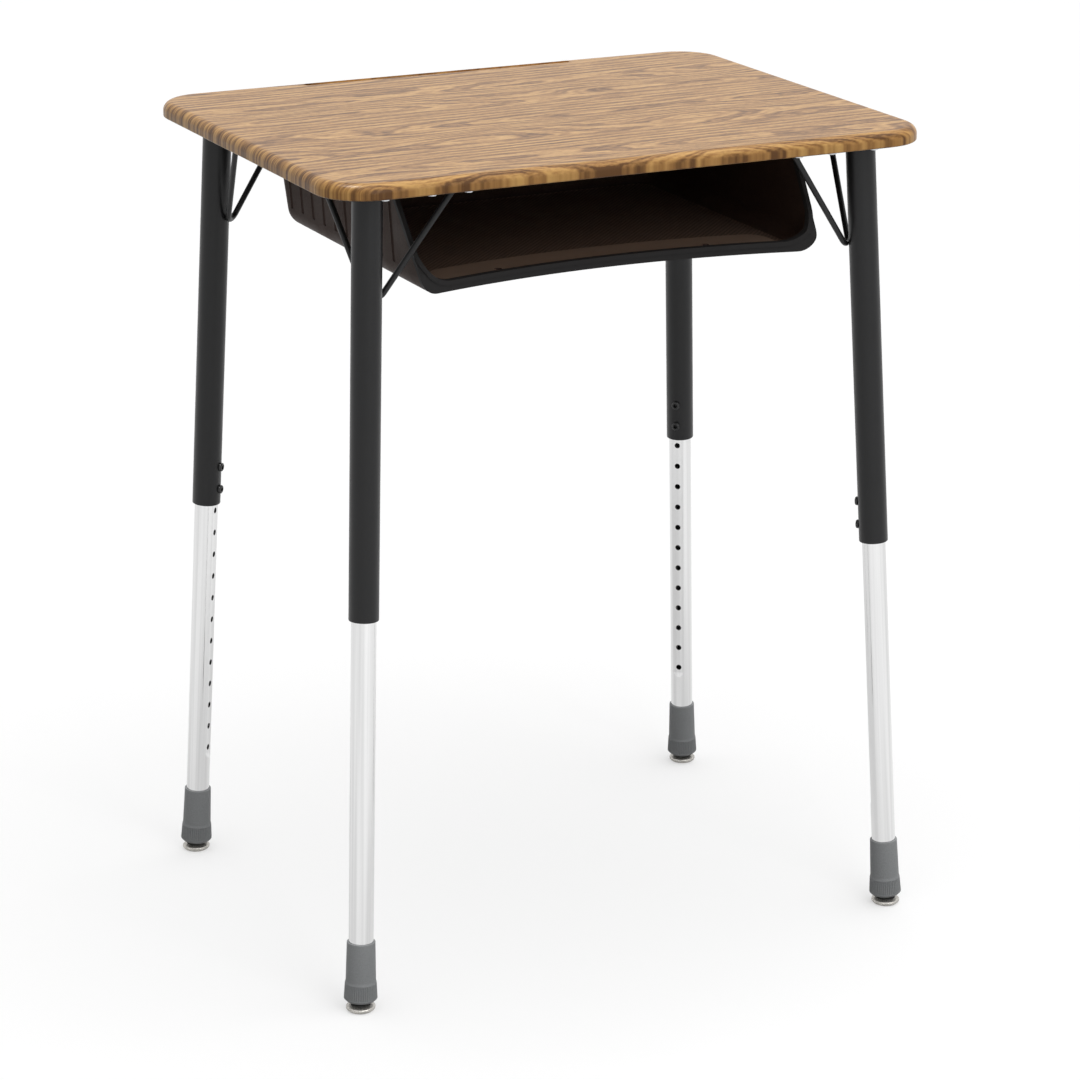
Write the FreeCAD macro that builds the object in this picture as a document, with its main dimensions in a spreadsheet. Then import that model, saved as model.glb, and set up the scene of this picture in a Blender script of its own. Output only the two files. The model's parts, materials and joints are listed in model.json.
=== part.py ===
import FreeCAD, Part
import math
import os

import Sketcher
from FreeCAD import Placement, Rotation, Vector

# Student desk with a book box, in millimetres.
# The origin is on the floor under the middle of the top, +Z is up and the open front of the box faces -Y.
# The desk stands at its highest setting: the lower legs slide up into the upper legs to lower it.

DRIVING_SIZES = {
    # Top
    "top_width": 660.4,
    "top_depth": 508.0,
    "top_height": 857.25,
    "top_thickness": 15.9,
    "top_corner_radius": 50.8,
    "top_edge_round": 9.5,
    "top_under_round": 1.6,
    "groove_length": 318.0,
    "groove_width": 10.0,
    "groove_depth": 4.0,
    "groove_setback": 14.0,
    "groove_round": 3.0,
    # Line of each leg, from the underside of the top out to the floor
    "leg_inset_side": 56.0,
    "leg_inset_end": 55.2,
    "leg_spread": 36.8,
    # Sliding tubes, with heights measured along the leg from the floor
    "lower_leg_diameter": 25.4,
    "lower_leg_wall": 1.8,
    "lower_leg_spare": 24.6,
    "slide_clearance": 0.4,
    "upper_leg_wall": 2.15,
    "upper_leg_foot": 412.6,
    # Row of height holes in the pressed flat of the lower leg
    "hole_count": 14,
    "hole_pitch": 25.4,
    "flat_sink": 1.9,
    "flat_margin": 12.0,
    "flat_ramp": 5.0,
    # Height screws
    "screw_diameter": 5.4,
    "screw_clearance": 0.5,
    "screw_rise": 17.4,
    "screw_tip_reach": 0.5,
    "screw_head_diameter": 9.4,
    "screw_head_height": 3.0,
    "screw_head_round": 1.6,
    "screw_key_width": 3.2,
    "screw_key_depth": 1.6,
    # Boot on the end of the lower leg
    "boot_gap": 10.8,
    "boot_height": 63.6,
    "boot_floor": 7.6,
    "boot_rim_wall": 1.85,
    "boot_rim_round": 0.8,
    "boot_waist_wall": 2.85,
    "boot_band_height": 18.0,
    "boot_shoulder_wall": 3.6,
    "boot_band_wall": 4.5,
    "boot_toe": 2.7,
    "boot_flute_count": 48,
    "boot_flute_depth": 0.65,
    "boot_flute_radius": 0.6,
    # Plug and glide stem
    "plug_length": 30.0,
    "stem_diameter": 8.0,
    "stem_grip": 24.0,
    "neck_diameter": 4.6,
    "ball_diameter": 8.4,
    "ball_height": 6.2,
    "ball_clearance": 0.3,
    # Glide cushion and base
    "glide_diameter": 30.2,
    "glide_gauge": 1.2,
    "glide_sole_diameter": 24.4,
    "glide_edge_low": 2.6,
    "glide_edge_high": 5.0,
    "glide_mouth_diameter": 20.4,
    "glide_rise": 7.2,
    "cushion_rise": 8.2,
    "cushion_gap": 0.3,
    # Leg plate under the top
    "plate_thickness": 3.0,
    "plate_overhang": 42.0,
    "plate_arm_width": 57.0,
    "plate_arm_reach": 105.0,
    "plate_corner_radius": 34.0,
    "plate_end_radius": 8.0,
    "plate_screw_line": 33.5,
    "plate_screw_near": 4.0,
    "plate_screw_mid": 53.0,
    "plate_screw_far": 91.5,
    # Pan-head screws into the underside of the top
    "wood_screw_head_diameter": 9.6,
    "wood_screw_head_height": 2.4,
    "wood_screw_head_round": 1.4,
    "wood_screw_diameter": 4.2,
    "wood_screw_bite": 11.0,
    "wood_screw_point": 3.5,
    "wood_screw_clearance": 0.4,
    # Brace rod, bent to a V
    "brace_diameter": 6.1,
    "brace_bend_radius": 11.5,
    "brace_drop": 106.5,
    "brace_reach": 52.2,
    "brace_half_span": 68.8,
    "brace_over": 12.0,
    "weld_bite": 0.1,
    # Book box
    "box_height": 110.9,
    "box_plate_gap": 12.6,
    "box_rear_gap": 7.8,
    "box_front_lead": 9.2,
    "box_bow": 31.0,
    "box_flare": 8.0,
    "box_rear_flare": 20.0,
    "box_wall": 3.0,
    "box_corner_radius": 28.0,
    "box_bottom_round": 20.0,
    "box_slant_rise": 17.0,
    "box_slant_setback": 67.7,
    "box_slant_round": 20.0,
    "box_web_depth": 8.0,
    "box_lip_height": 11.0,
    "box_opening_round": 34.0,
    "box_bead_width": 4.8,
    "box_bead_depth": 5.0,
    "box_bead_stand": 1.5,
    "box_bead_overhang": 0.4,
    "box_strip_depth": 60.0,
    "box_strip_rise": 4.0,
    "box_strip_inset": 30.0,
    "box_strip_round": 25.0,
    "box_hole_diameter": 8.0,
    "box_hole_inset": 103.1,
    "box_hole_setback": 25.0,
    # Screw flange round the top of the book box
    "flange_width": 18.0,
    "flange_thickness": 3.0,
    "flange_root": 2.0,
    "flange_front_margin": 14.0,
    "flange_rear_margin": 17.0,
    "flange_back_gap": 19.2,
    "flange_screw_margin": 15.0,
    "flange_side_screws": 4,
    "flange_back_screws": 3,
    # Upright flutes on the sides of the book box
    "flute_count": 10,
    "flute_rear_margin": 32.0,
    "flute_front_margin": 66.5,
    "flute_radius": 4.5,
    "flute_sink": 1.3,
    "flute_foot": 21.0,
    "flute_head": 20.0,
    # Run-out of trimming shapes past what they trim
    "trim_margin": 20.0,
}

DEPENDENT_SIZES = {
    "top_half_width": "=top_width / 2",
    "top_half_depth": "=top_depth / 2",
    "underside": "=top_height - top_thickness",
    "groove_centre": "=top_half_depth - groove_setback",
    "groove_radius": "=groove_width / 2",
    "groove_half_run": "=groove_length / 2 - groove_radius",
    "groove_bed": "=top_height - groove_depth",
    "leg_top_x": "=top_half_width - leg_inset_side",
    "leg_top_y": "=top_half_depth - leg_inset_end",
    "lower_leg_radius": "=lower_leg_diameter / 2",
    "lower_leg_bore": "=lower_leg_radius - lower_leg_wall",
    "lower_leg_foot": "=boot_gap + boot_floor",
    "upper_leg_bore": "=lower_leg_radius + slide_clearance",
    "upper_leg_radius": "=upper_leg_bore + upper_leg_wall",
    "upper_leg_run": "=top_height + 2 * upper_leg_radius - upper_leg_foot",
    "screw_radius": "=screw_diameter / 2",
    "screw_low": "=upper_leg_foot + screw_rise",
    "screw_high": "=screw_low + hole_pitch",
    "screw_head_radius": "=screw_head_diameter / 2",
    "screw_key_half": "=screw_key_width / 2",
    "screw_key_corner": "=screw_key_width / sqrt(3)",
    "screw_key_step": "=screw_key_corner / 2",
    "hole_run": "=(hole_count - 1) * hole_pitch",
    "hole_low": "=screw_high - hole_run",
    "hole_radius": "=screw_radius + screw_clearance",
    "hole_reach": "=upper_leg_radius + trim_margin",
    "flat_foot": "=hole_low - flat_margin",
    "flat_full": "=flat_foot + flat_ramp",
    "flat_outer": "=lower_leg_radius - flat_sink",
    "flat_inner": "=flat_outer - lower_leg_wall",
    "screw_shank_end": "=upper_leg_radius - flat_inner + screw_tip_reach",
    "lower_leg_top": "=screw_high + lower_leg_spare",
    "lower_leg_length": "=lower_leg_top - lower_leg_foot",
    "lower_leg_round_bore": "=flat_foot - lower_leg_foot",
    "lower_leg_flat_bore": "=lower_leg_top - flat_foot",
    "boot_top": "=boot_gap + boot_height",
    "boot_band_top": "=boot_gap + boot_band_height",
    "boot_toe_top": "=boot_gap + boot_toe",
    "boot_rim_radius": "=lower_leg_radius + boot_rim_wall",
    "boot_waist_radius": "=lower_leg_radius + boot_waist_wall",
    "boot_shoulder_radius": "=lower_leg_radius + boot_shoulder_wall",
    "boot_band_radius": "=lower_leg_radius + boot_band_wall",
    "boot_toe_radius": "=boot_band_radius - boot_toe",
    "boot_flute_centre": "=boot_band_radius + boot_flute_radius - boot_flute_depth",
    "stem_radius": "=stem_diameter / 2",
    "stem_length": "=boot_floor + stem_grip",
    "stem_top": "=boot_gap + stem_length",
    "plug_top": "=lower_leg_foot + plug_length",
    "neck_radius": "=neck_diameter / 2",
    "neck_length": "=boot_gap - ball_height + stem_radius",
    "ball_radius": "=ball_diameter / 2",
    "socket_radius": "=ball_radius + ball_clearance",
    "glide_radius": "=glide_diameter / 2",
    "glide_sole_radius": "=glide_sole_diameter / 2",
    "glide_mouth_radius": "=glide_mouth_diameter / 2",
    "glide_inner_radius": "=glide_radius - glide_gauge",
    "glide_inner_sole": "=glide_sole_radius - glide_gauge / 2",
    "glide_inner_low": "=glide_edge_low + glide_gauge / 2",
    "glide_inner_high": "=glide_edge_high - glide_gauge / 2",
    "glide_inner_rise": "=glide_rise - glide_gauge",
    "cushion_neck_radius": "=glide_mouth_radius - cushion_gap",
    "plate_bottom": "=underside - plate_thickness",
    "plate_inner": "=plate_arm_width - plate_overhang",
    "wood_screw_radius": "=wood_screw_diameter / 2",
    "wood_screw_head_radius": "=wood_screw_head_diameter / 2",
    "wood_screw_hole_radius": "=wood_screw_radius + wood_screw_clearance",
    "wood_screw_shank": "=wood_screw_bite + plate_thickness",
    "wood_screw_neck": "=wood_screw_shank - wood_screw_point",
    "brace_radius": "=brace_diameter / 2",
    "brace_bend_reach": "=upper_leg_radius + brace_radius - weld_bite",
    "brace_swing": "=brace_reach - brace_bend_reach",
    "brace_rise": "=sqrt(brace_drop * brace_drop + brace_swing * brace_swing)",
    "brace_end_rise": "=brace_rise + brace_over",
    "brace_end_span": "=brace_half_span * brace_end_rise / brace_rise",
    "box_top_half": "=leg_top_x - plate_inner - box_plate_gap - flange_width",
    "box_top_rear": "=leg_top_y - plate_inner - box_rear_gap",
    "box_half": "=box_top_half - box_flare",
    "box_rear": "=box_top_rear - box_rear_flare",
    "box_front": "=leg_top_y + box_front_lead",
    "box_bottom": "=underside - box_height",
    "box_reserve": "=box_front + trim_margin",
    "box_run": "=2 * box_reserve",
    "box_slope": "=box_flare / box_height",
    "box_rear_slope": "=box_rear_flare / box_height",
    "box_inner_half": "=box_half - box_wall + box_wall * box_slope",
    "box_inner_rear": "=box_rear - box_wall + box_wall * box_rear_slope",
    "box_inner_bottom": "=box_bottom + box_wall",
    "box_inner_top_half": "=box_inner_half + box_flare",
    "box_inner_top_rear": "=box_inner_rear + box_rear_flare",
    "box_inner_top": "=box_inner_bottom + box_height",
    "box_inner_corner": "=box_corner_radius - box_wall",
    "box_inner_round": "=box_bottom_round - box_wall",
    "box_lip_level": "=box_bottom + box_lip_height",
    "box_opening_inset": "=box_bead_width - box_bead_overhang",
    "box_opening_half": "=box_half + box_lip_height * box_slope - box_opening_inset",
    "box_opening_top_half": "=box_opening_half + box_flare",
    "box_opening_top": "=box_lip_level + box_height",
    "box_bead_bottom": "=box_lip_level - box_bead_width",
    "box_bead_half": "=box_half + (box_lip_height - box_bead_width) * box_slope + box_bead_overhang",
    "box_bead_top_half": "=box_top_half + box_bead_overhang",
    "box_bead_round": "=box_opening_round + box_bead_width",
    "box_bow_radius": "=(box_half * box_half + box_bow * box_bow) / (2 * box_bow)",
    "box_bow_centre": "=box_front - box_bow + box_bow_radius",
    "box_face_bow": "=box_bow_radius + box_bead_stand",
    "box_bead_bow": "=box_bow_radius + box_bead_depth",
    "box_web_bow": "=box_bow_radius + box_web_depth",
    "box_strip_bow": "=box_bow_radius + box_strip_depth",
    "box_strip_height": "=box_wall + box_strip_rise",
    "box_strip_half": "=box_half - box_strip_inset",
    "box_strip_width": "=2 * box_strip_half",
    "box_hole_radius": "=box_hole_diameter / 2",
    "box_slant_foot": "=box_bottom + box_slant_rise",
    "box_slant_ratio": "=box_slant_setback / (box_height - box_slant_rise)",
    "box_slant_head": "=underside + trim_margin",
    "box_slant_head_y": "=box_front - box_slant_ratio * (box_slant_head - box_slant_foot)",
    "box_clear_low": "=box_bottom - trim_margin",
    "box_clear_height": "=box_height + 2 * trim_margin",
    "box_clear_width": "=2 * (box_top_half + trim_margin)",
    "flange_bottom": "=underside - flange_thickness",
    "flange_inner_x": "=box_top_half - flange_root",
    "flange_outer_x": "=box_top_half + flange_width",
    "flange_inner_y": "=box_top_rear - flange_root",
    "flange_front": "=box_front - box_slant_setback - flange_front_margin",
    "flange_rear": "=box_rear - flange_rear_margin",
    "flange_length": "=flange_front + flange_rear",
    "flange_depth": "=flange_width + flange_root",
    "flange_back_half": "=leg_top_x - plate_arm_reach - flange_back_gap",
    "flange_back_width": "=2 * flange_back_half",
    "flange_screw_x": "=box_top_half + flange_width / 2",
    "flange_screw_y": "=box_top_rear + flange_width / 2",
    "flute_length": "=box_height - flute_foot - flute_head",
    "flute_run": "=box_rear + box_front - flute_rear_margin - flute_front_margin",
    "trim_width": "=2 * top_width",
    "trim_depth": "=2 * top_depth",
    "trim_height": "=5 * trim_margin",
}

CORNERS = {
    "front_left": (-1, -1),
    "front_right": (1, -1),
    "rear_right": (1, 1),
    "rear_left": (-1, 1),
}
SIDES = (-1, 1)
ALL_ROUND = 360.0
UP = Vector(0, 0, 1)
ACROSS = Vector(0, 1, 0)

os.makedirs("parts", exist_ok=True)
doc = FreeCAD.newDocument("StudentDesk")
sheet = doc.addObject("Spreadsheet::Sheet", "Sizes")
for row, (alias, content) in enumerate({**DRIVING_SIZES, **DEPENDENT_SIZES}.items(), start=1):
    sheet.set(f"A{row}", alias)
    sheet.set(f"B{row}", str(content))
    sheet.setAlias(f"B{row}", alias)
doc.recompute()
nodes = []


# Sizes and sketches

def size(name):
    """Value of a named size, negative where the name starts with a minus sign."""
    value = float(sheet.get(name.lstrip("-")))
    return -value if name.startswith("-") else value


def term(name):
    """Expression that reads a named size."""
    return "-Sizes." + name[1:] if name.startswith("-") else "Sizes." + name


def bind(owner, **properties):
    """Tie properties of an object to named sizes."""
    for prop, name in properties.items():
        owner.setExpression(prop, term(name))


def bind_base(owner, x=None, y=None, z=None):
    """Tie the place of an object to named coordinates."""
    for axis, name in zip("xyz", (x, y, z)):
        if name:
            owner.setExpression("Placement.Base." + axis, term(name))


def constrain(sketch, name, kind, *references):
    """Sketch constraint with a named value."""
    row = sketch.addConstraint(Sketcher.Constraint(kind, *references, size(name)))
    sketch.setExpression(f"Constraints[{row}]", term(name))


def new_body(label):
    """Empty body with its label."""
    body = doc.addObject("PartDesign::Body", label)
    body.Label = label
    return body


def origin_feature(body, role):
    """Plane or axis of a body's own origin."""
    return next(item for item in body.Origin.OriginFeatures if item.Role == role)


def sketch_on(body, role, name, level=None):
    """Sketch on an origin plane, raised off it by a named size where one is given."""
    sketch = body.newObject("Sketcher::SketchObject", name)
    sketch.AttachmentSupport = [(origin_feature(body, role), "")]
    sketch.MapMode = "FlatFace"
    if level:
        sketch.setExpression("AttachmentOffset.Base.z", term(level))
    return sketch


def hold_point(sketch, geometry, vertex, x, y):
    """Hold a sketch point at named coordinates, or on an axis where a name is None."""
    for kind, axis, name in (("DistanceX", -2, x), ("DistanceY", -1, y)):
        if name is None:
            sketch.addConstraint(Sketcher.Constraint("PointOnObject", geometry, vertex, axis))
        else:
            constrain(sketch, name, kind, -1, 1, geometry, vertex)


def point_at(x, y):
    """Sketch point at named coordinates."""
    return Vector(size(x) if x else 0.0, size(y) if y else 0.0, 0)


def add_circle(sketch, radius, x=None, y=None):
    """Circle of a named radius round a named centre."""
    index = sketch.addGeometry(Part.Circle(point_at(x, y), UP, size(radius)), False)
    constrain(sketch, radius, "Radius", index)
    hold_point(sketch, index, 3, x, y)


def add_outline(sketch, corners):
    """Closed outline of straight lines through named corners."""
    points = [point_at(x, y) for x, y in corners]
    first = sketch.GeometryCount
    for start, end in zip(points, points[1:] + points[:1]):
        sketch.addGeometry(Part.LineSegment(start, end), False)
    for step, (x, y) in enumerate(corners):
        following = first + (step + 1) % len(corners)
        sketch.addConstraint(Sketcher.Constraint("Coincident", first + step, 2, following, 1))
        hold_point(sketch, first + step, 1, x, y)


def add_slot(sketch, half_run, radius, y):
    """Slot with round ends, along X at a named distance."""
    ends = []
    for side, x in zip(SIDES, ("-" + half_run, half_run)):
        start = math.pi / 2 * -side
        circle = Part.Circle(point_at(x, y), UP, size(radius))
        ends.append(sketch.addGeometry(Part.ArcOfCircle(circle, start, start + math.pi), False))
        constrain(sketch, radius, "Radius", ends[-1])
        hold_point(sketch, ends[-1], 3, x, y)
    for leaving, entering in (ends, ends[::-1]):
        start = sketch.getPoint(leaving, 2)
        end = sketch.getPoint(entering, 1)
        line = sketch.addGeometry(Part.LineSegment(start, end), False)
        sketch.addConstraint(Sketcher.Constraint("Tangent", leaving, 2, line, 1))
        sketch.addConstraint(Sketcher.Constraint("Tangent", line, 2, entering, 1))


def add_flat_circle(sketch, radius, flat):
    """Circle of a named radius with a flat at a named distance along X."""
    reach = math.acos(size(flat) / size(radius))
    circle = Part.Circle(Vector(), UP, size(radius))
    arc = sketch.addGeometry(Part.ArcOfCircle(circle, reach, 2 * math.pi - reach), False)
    chord = Part.LineSegment(sketch.getPoint(arc, 2), sketch.getPoint(arc, 1))
    line = sketch.addGeometry(chord, False)
    sketch.addConstraint(Sketcher.Constraint("Coincident", arc, 3, -1, 1))
    sketch.addConstraint(Sketcher.Constraint("Coincident", arc, 2, line, 1))
    sketch.addConstraint(Sketcher.Constraint("Coincident", line, 2, arc, 1))
    sketch.addConstraint(Sketcher.Constraint("Vertical", line))
    constrain(sketch, radius, "Radius", arc)
    constrain(sketch, flat, "DistanceX", -1, 1, line, 1)


# Features

def add_feature(body, kind, name, profile, **properties):
    """Sketch-based feature of a body, with sizes named in the sheet."""
    feature = body.newObject("PartDesign::" + kind, name)
    feature.Profile = profile
    bind(feature, **properties)
    return feature


def revolve(body, corners):
    """Turned solid about a body's upright axis from an outline of radius and height names."""
    sketch = sketch_on(body, "XZ_Plane", "Outline")
    add_outline(sketch, corners)
    feature = add_feature(body, "Revolution", "Turned", sketch)
    feature.ReferenceAxis = (sketch, ["V_Axis"])
    feature.Angle = ALL_ROUND
    doc.recompute()
    return feature


def edges_where(shape, test):
    """Numbers of the edges that pass a test."""
    return [number for number, edge in enumerate(shape.Edges, start=1) if test(edge)]


def round_edges(body, feature, radius, test):
    """Fillet of a named radius on the edges of a feature that pass a test."""
    doc.recompute()
    fillet = body.newObject("PartDesign::Fillet", "Rounding")
    fillet.Base = (feature, [f"Edge{number}" for number in edges_where(feature.Shape, test)])
    bind(fillet, Radius=radius)
    doc.recompute()
    return fillet


def edge_at(level):
    """Test for an edge that lies flat at a named height."""
    return lambda edge: all(abs(vertex.Z - size(level)) < 1e-6 for vertex in edge.Vertexes)


def ring_at(radius, level):
    """Test for a full circle of a named radius at a named height."""
    def test(edge):
        """True for the one circle."""
        return edge_at(level)(edge) and edge.Closed and abs(edge.Curve.Radius - size(radius)) < 1e-6
    return test


def upright_at(x, y):
    """Test for a straight upright edge at named plan coordinates."""
    def test(edge):
        """True for the one upright edge."""
        ends = [vertex.Point for vertex in edge.Vertexes]
        return all((end - Vector(size(x), size(y), end.z)).Length < 1e-6 for end in ends)
    return test


def boolean(kind, label, shapes):
    """Cut of one shape by another, or fuse or common of several."""
    result = doc.addObject("Part::" + kind, label)
    result.Label = label
    if kind == "Cut":
        result.Base, result.Tool = shapes
    else:
        result.Shapes = shapes
    doc.recompute()
    return result


def block(name, length, width, height, x, y, z):
    """Plain block of named sizes with its low corner at named coordinates."""
    solid = doc.addObject("Part::Box", name)
    bind(solid, Length=length, Width=width, Height=height)
    bind_base(solid, x, y, z)
    return solid


def cylinder(name, radius, height, x=None, y=None, z=None):
    """Plain upright cylinder of named sizes at named coordinates."""
    solid = doc.addObject("Part::Cylinder", name)
    bind(solid, Radius=radius, Height=height)
    bind_base(solid, x, y, z)
    return solid


def sphere(name, radius, z):
    """Plain sphere of a named radius at a named height."""
    solid = doc.addObject("Part::Sphere", name)
    bind(solid, Radius=radius)
    bind_base(solid, z=z)
    return solid


def copies(label, master, places):
    """Group of separate copies of one solid, such as the screws of one joint."""
    doc.recompute()
    group = doc.addObject("Part::Feature", label)
    group.Label = label
    group.Shape = Part.makeCompound([master.Shape.transformed(place.toMatrix()) for place in places])
    return group


def keep(piece):
    """Count a finished piece among the exported nodes."""
    nodes.append(piece)
    return piece


# Frames of the four corners

LEAN = math.degrees(math.atan2(size("leg_spread") * math.sqrt(2), size("underside")))
ALONG = 1 / math.cos(math.radians(LEAN))


def corner_yaw(corner):
    """Turn about the upright axis that points X inwards along a corner's diagonal."""
    side, end = CORNERS[corner]
    return math.degrees(math.atan2(-end, -side))


def leg_frame(corner):
    """Frame of a leg: its foot on the floor, Z up along the leaning leg, X inwards."""
    side, end = CORNERS[corner]
    foot_x = side * (size("leg_top_x") + size("leg_spread"))
    foot_y = end * (size("leg_top_y") + size("leg_spread"))
    upright = Placement(Vector(foot_x, foot_y, 0), Rotation(UP, corner_yaw(corner)))
    return upright * Placement(Vector(), Rotation(ACROSS, LEAN))


def plate_frame(corner):
    """Frame of a leg plate: the leg line at the underside of the top, arms along +X and +Y."""
    side, end = CORNERS[corner]
    top = Vector(side * size("leg_top_x"), end * size("leg_top_y"), 0)
    return Placement(top, Rotation(UP, corner_yaw(corner) - 45))


def glide_frame(corner):
    """Frame of a glide: flat on the floor under the ball of the leaning stem."""
    ball = leg_frame(corner).multVec(Vector(0, 0, size("ball_height") * ALONG))
    return Placement(Vector(ball.x, ball.y, 0), Rotation(UP, corner_yaw(corner)))


def brace_frame(corner):
    """Frame of a brace: its bend against the leg, Z up between the two arms."""
    bend = Vector(size("brace_bend_reach"), 0, size("plate_bottom") * ALONG - size("brace_drop"))
    swing = math.degrees(math.atan2(size("brace_swing"), size("brace_drop")))
    return leg_frame(corner) * Placement(bend, Rotation(ACROSS, swing))


# Screws

def make_wood_screw():
    """Pan-head screw with the seat of its head at the origin and its point upwards."""
    screw = new_body("wood_screw")
    turned = revolve(screw, (
        (None, "-wood_screw_head_height"),
        ("wood_screw_head_radius", "-wood_screw_head_height"),
        ("wood_screw_head_radius", None),
        ("wood_screw_radius", None),
        ("wood_screw_radius", "wood_screw_neck"),
        (None, "wood_screw_shank"),
    ))
    ring = ring_at("wood_screw_head_radius", "-wood_screw_head_height")
    round_edges(screw, turned, "wood_screw_head_round", ring)
    return screw


def make_height_screw():
    """Button-head screw with a hexagon socket, the seat of its head at the origin and its head upwards."""
    screw = new_body("height_screw")
    turned = revolve(screw, (
        (None, "-screw_shank_end"),
        ("screw_radius", "-screw_shank_end"),
        ("screw_radius", None),
        ("screw_head_radius", None),
        ("screw_head_radius", "screw_head_height"),
        (None, "screw_head_height"),
    ))
    round_edges(screw, turned, "screw_head_round", ring_at("screw_head_radius", "screw_head_height"))
    socket = sketch_on(screw, "XY_Plane", "Socket", "screw_head_height")
    add_outline(socket, (
        ("screw_key_corner", None),
        ("screw_key_step", "screw_key_half"),
        ("-screw_key_step", "screw_key_half"),
        ("-screw_key_corner", None),
        ("-screw_key_step", "-screw_key_half"),
        ("screw_key_step", "-screw_key_half"),
    ))
    add_feature(screw, "Pocket", "SocketPocket", socket, Length="screw_key_depth")
    return screw


def plate_screw_places():
    """Places of the screws through the four leg plates."""
    along = ("plate_screw_near", "plate_screw_mid", "plate_screw_far")
    spots = [Vector(size(name), -size("plate_screw_line"), size("plate_bottom")) for name in along]
    spots += [Vector(spot.y, spot.x, spot.z) for spot in spots]
    return [plate_frame(corner) * Placement(spot, Rotation()) for corner in CORNERS for spot in spots]


def spread(low, high, count):
    """Evenly spread values from low to high."""
    return [low + (high - low) * step / (count - 1) for step in range(count)]


def flange_screw_places():
    """Places of the screws through the flange of the book box."""
    margin = size("flange_screw_margin")
    low = margin - size("flange_front")
    high = size("flange_rear") - margin
    half = size("flange_back_half") - margin
    along_y = spread(low, high, int(size("flange_side_screws")))
    along_x = spread(-half, half, int(size("flange_back_screws")))
    spots = [(side * size("flange_screw_x"), y) for side in SIDES for y in along_y]
    spots += [(x, size("flange_screw_y")) for x in along_x]
    return [Placement(Vector(x, y, size("flange_bottom")), Rotation()) for x, y in spots]


# Top

def make_top(screws):
    """Board with rounded corners and edges, a pencil groove and screw holes in its underside."""
    body = new_body("top_board")
    outline = sketch_on(body, "XY_Plane", "Outline", "underside")
    add_outline(outline, (
        ("-top_half_width", "-top_half_depth"),
        ("top_half_width", "-top_half_depth"),
        ("top_half_width", "top_half_depth"),
        ("-top_half_width", "top_half_depth"),
    ))
    board = add_feature(body, "Pad", "Board", outline, Length="top_thickness")
    board = round_edges(body, board, "top_corner_radius", lambda edge: not (
        edge_at("underside")(edge) or edge_at("top_height")(edge)))
    board = round_edges(body, board, "top_edge_round", edge_at("top_height"))
    round_edges(body, board, "top_under_round", edge_at("underside"))
    slot = sketch_on(body, "XY_Plane", "Slot", "top_height")
    add_slot(slot, "groove_half_run", "groove_radius", "groove_centre")
    groove = add_feature(body, "Pocket", "Groove", slot, Length="groove_depth")
    round_edges(body, groove, "groove_round", edge_at("groove_bed"))
    return keep(boolean("Cut", "desk_top", (body, screws)))


# Legs

def make_leg_plate(corner):
    """L-shaped plate with rounded corners and screw holes."""
    body = new_body(corner + "_leg_plate")
    outline = sketch_on(body, "XY_Plane", "Outline", "plate_bottom")
    corners = (
        ("-plate_overhang", "-plate_overhang"),
        ("plate_arm_reach", "-plate_overhang"),
        ("plate_arm_reach", "plate_inner"),
        ("plate_inner", "plate_inner"),
        ("plate_inner", "plate_arm_reach"),
        ("-plate_overhang", "plate_arm_reach"),
    )
    add_outline(outline, corners)
    for along in ("plate_screw_near", "plate_screw_mid", "plate_screw_far"):
        add_circle(outline, "wood_screw_hole_radius", along, "-plate_screw_line")
        add_circle(outline, "wood_screw_hole_radius", "-plate_screw_line", along)
    plate = add_feature(body, "Pad", "Plate", outline, Length="plate_thickness")
    plate = round_edges(body, plate, "plate_corner_radius", upright_at(*corners[0]))
    ends = [upright_at(*end) for end in corners[1:3] + corners[4:6]]
    round_edges(body, plate, "plate_end_radius", lambda edge: any(test(edge) for test in ends))
    body.Placement = plate_frame(corner)
    return keep(body)


def make_upper_leg(corner, above):
    """Leaning tube, cut level under the leg plate, with two threaded holes on its inner side."""
    body = new_body(corner + "_tube")
    ring = sketch_on(body, "XY_Plane", "Ring", "upper_leg_foot")
    add_circle(ring, "upper_leg_radius")
    add_circle(ring, "upper_leg_bore")
    add_feature(body, "Pad", "Tube", ring, Length="upper_leg_run")
    spots = sketch_on(body, "YZ_Plane", "Spots")
    add_circle(spots, "screw_radius", None, "screw_low")
    add_circle(spots, "screw_radius", None, "screw_high")
    add_feature(body, "Pocket", "ScrewHoles", spots, Length="hole_reach").Reversed = True
    body.Placement = leg_frame(corner)
    return keep(boolean("Cut", corner + "_upper_leg", (body, above)))


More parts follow.
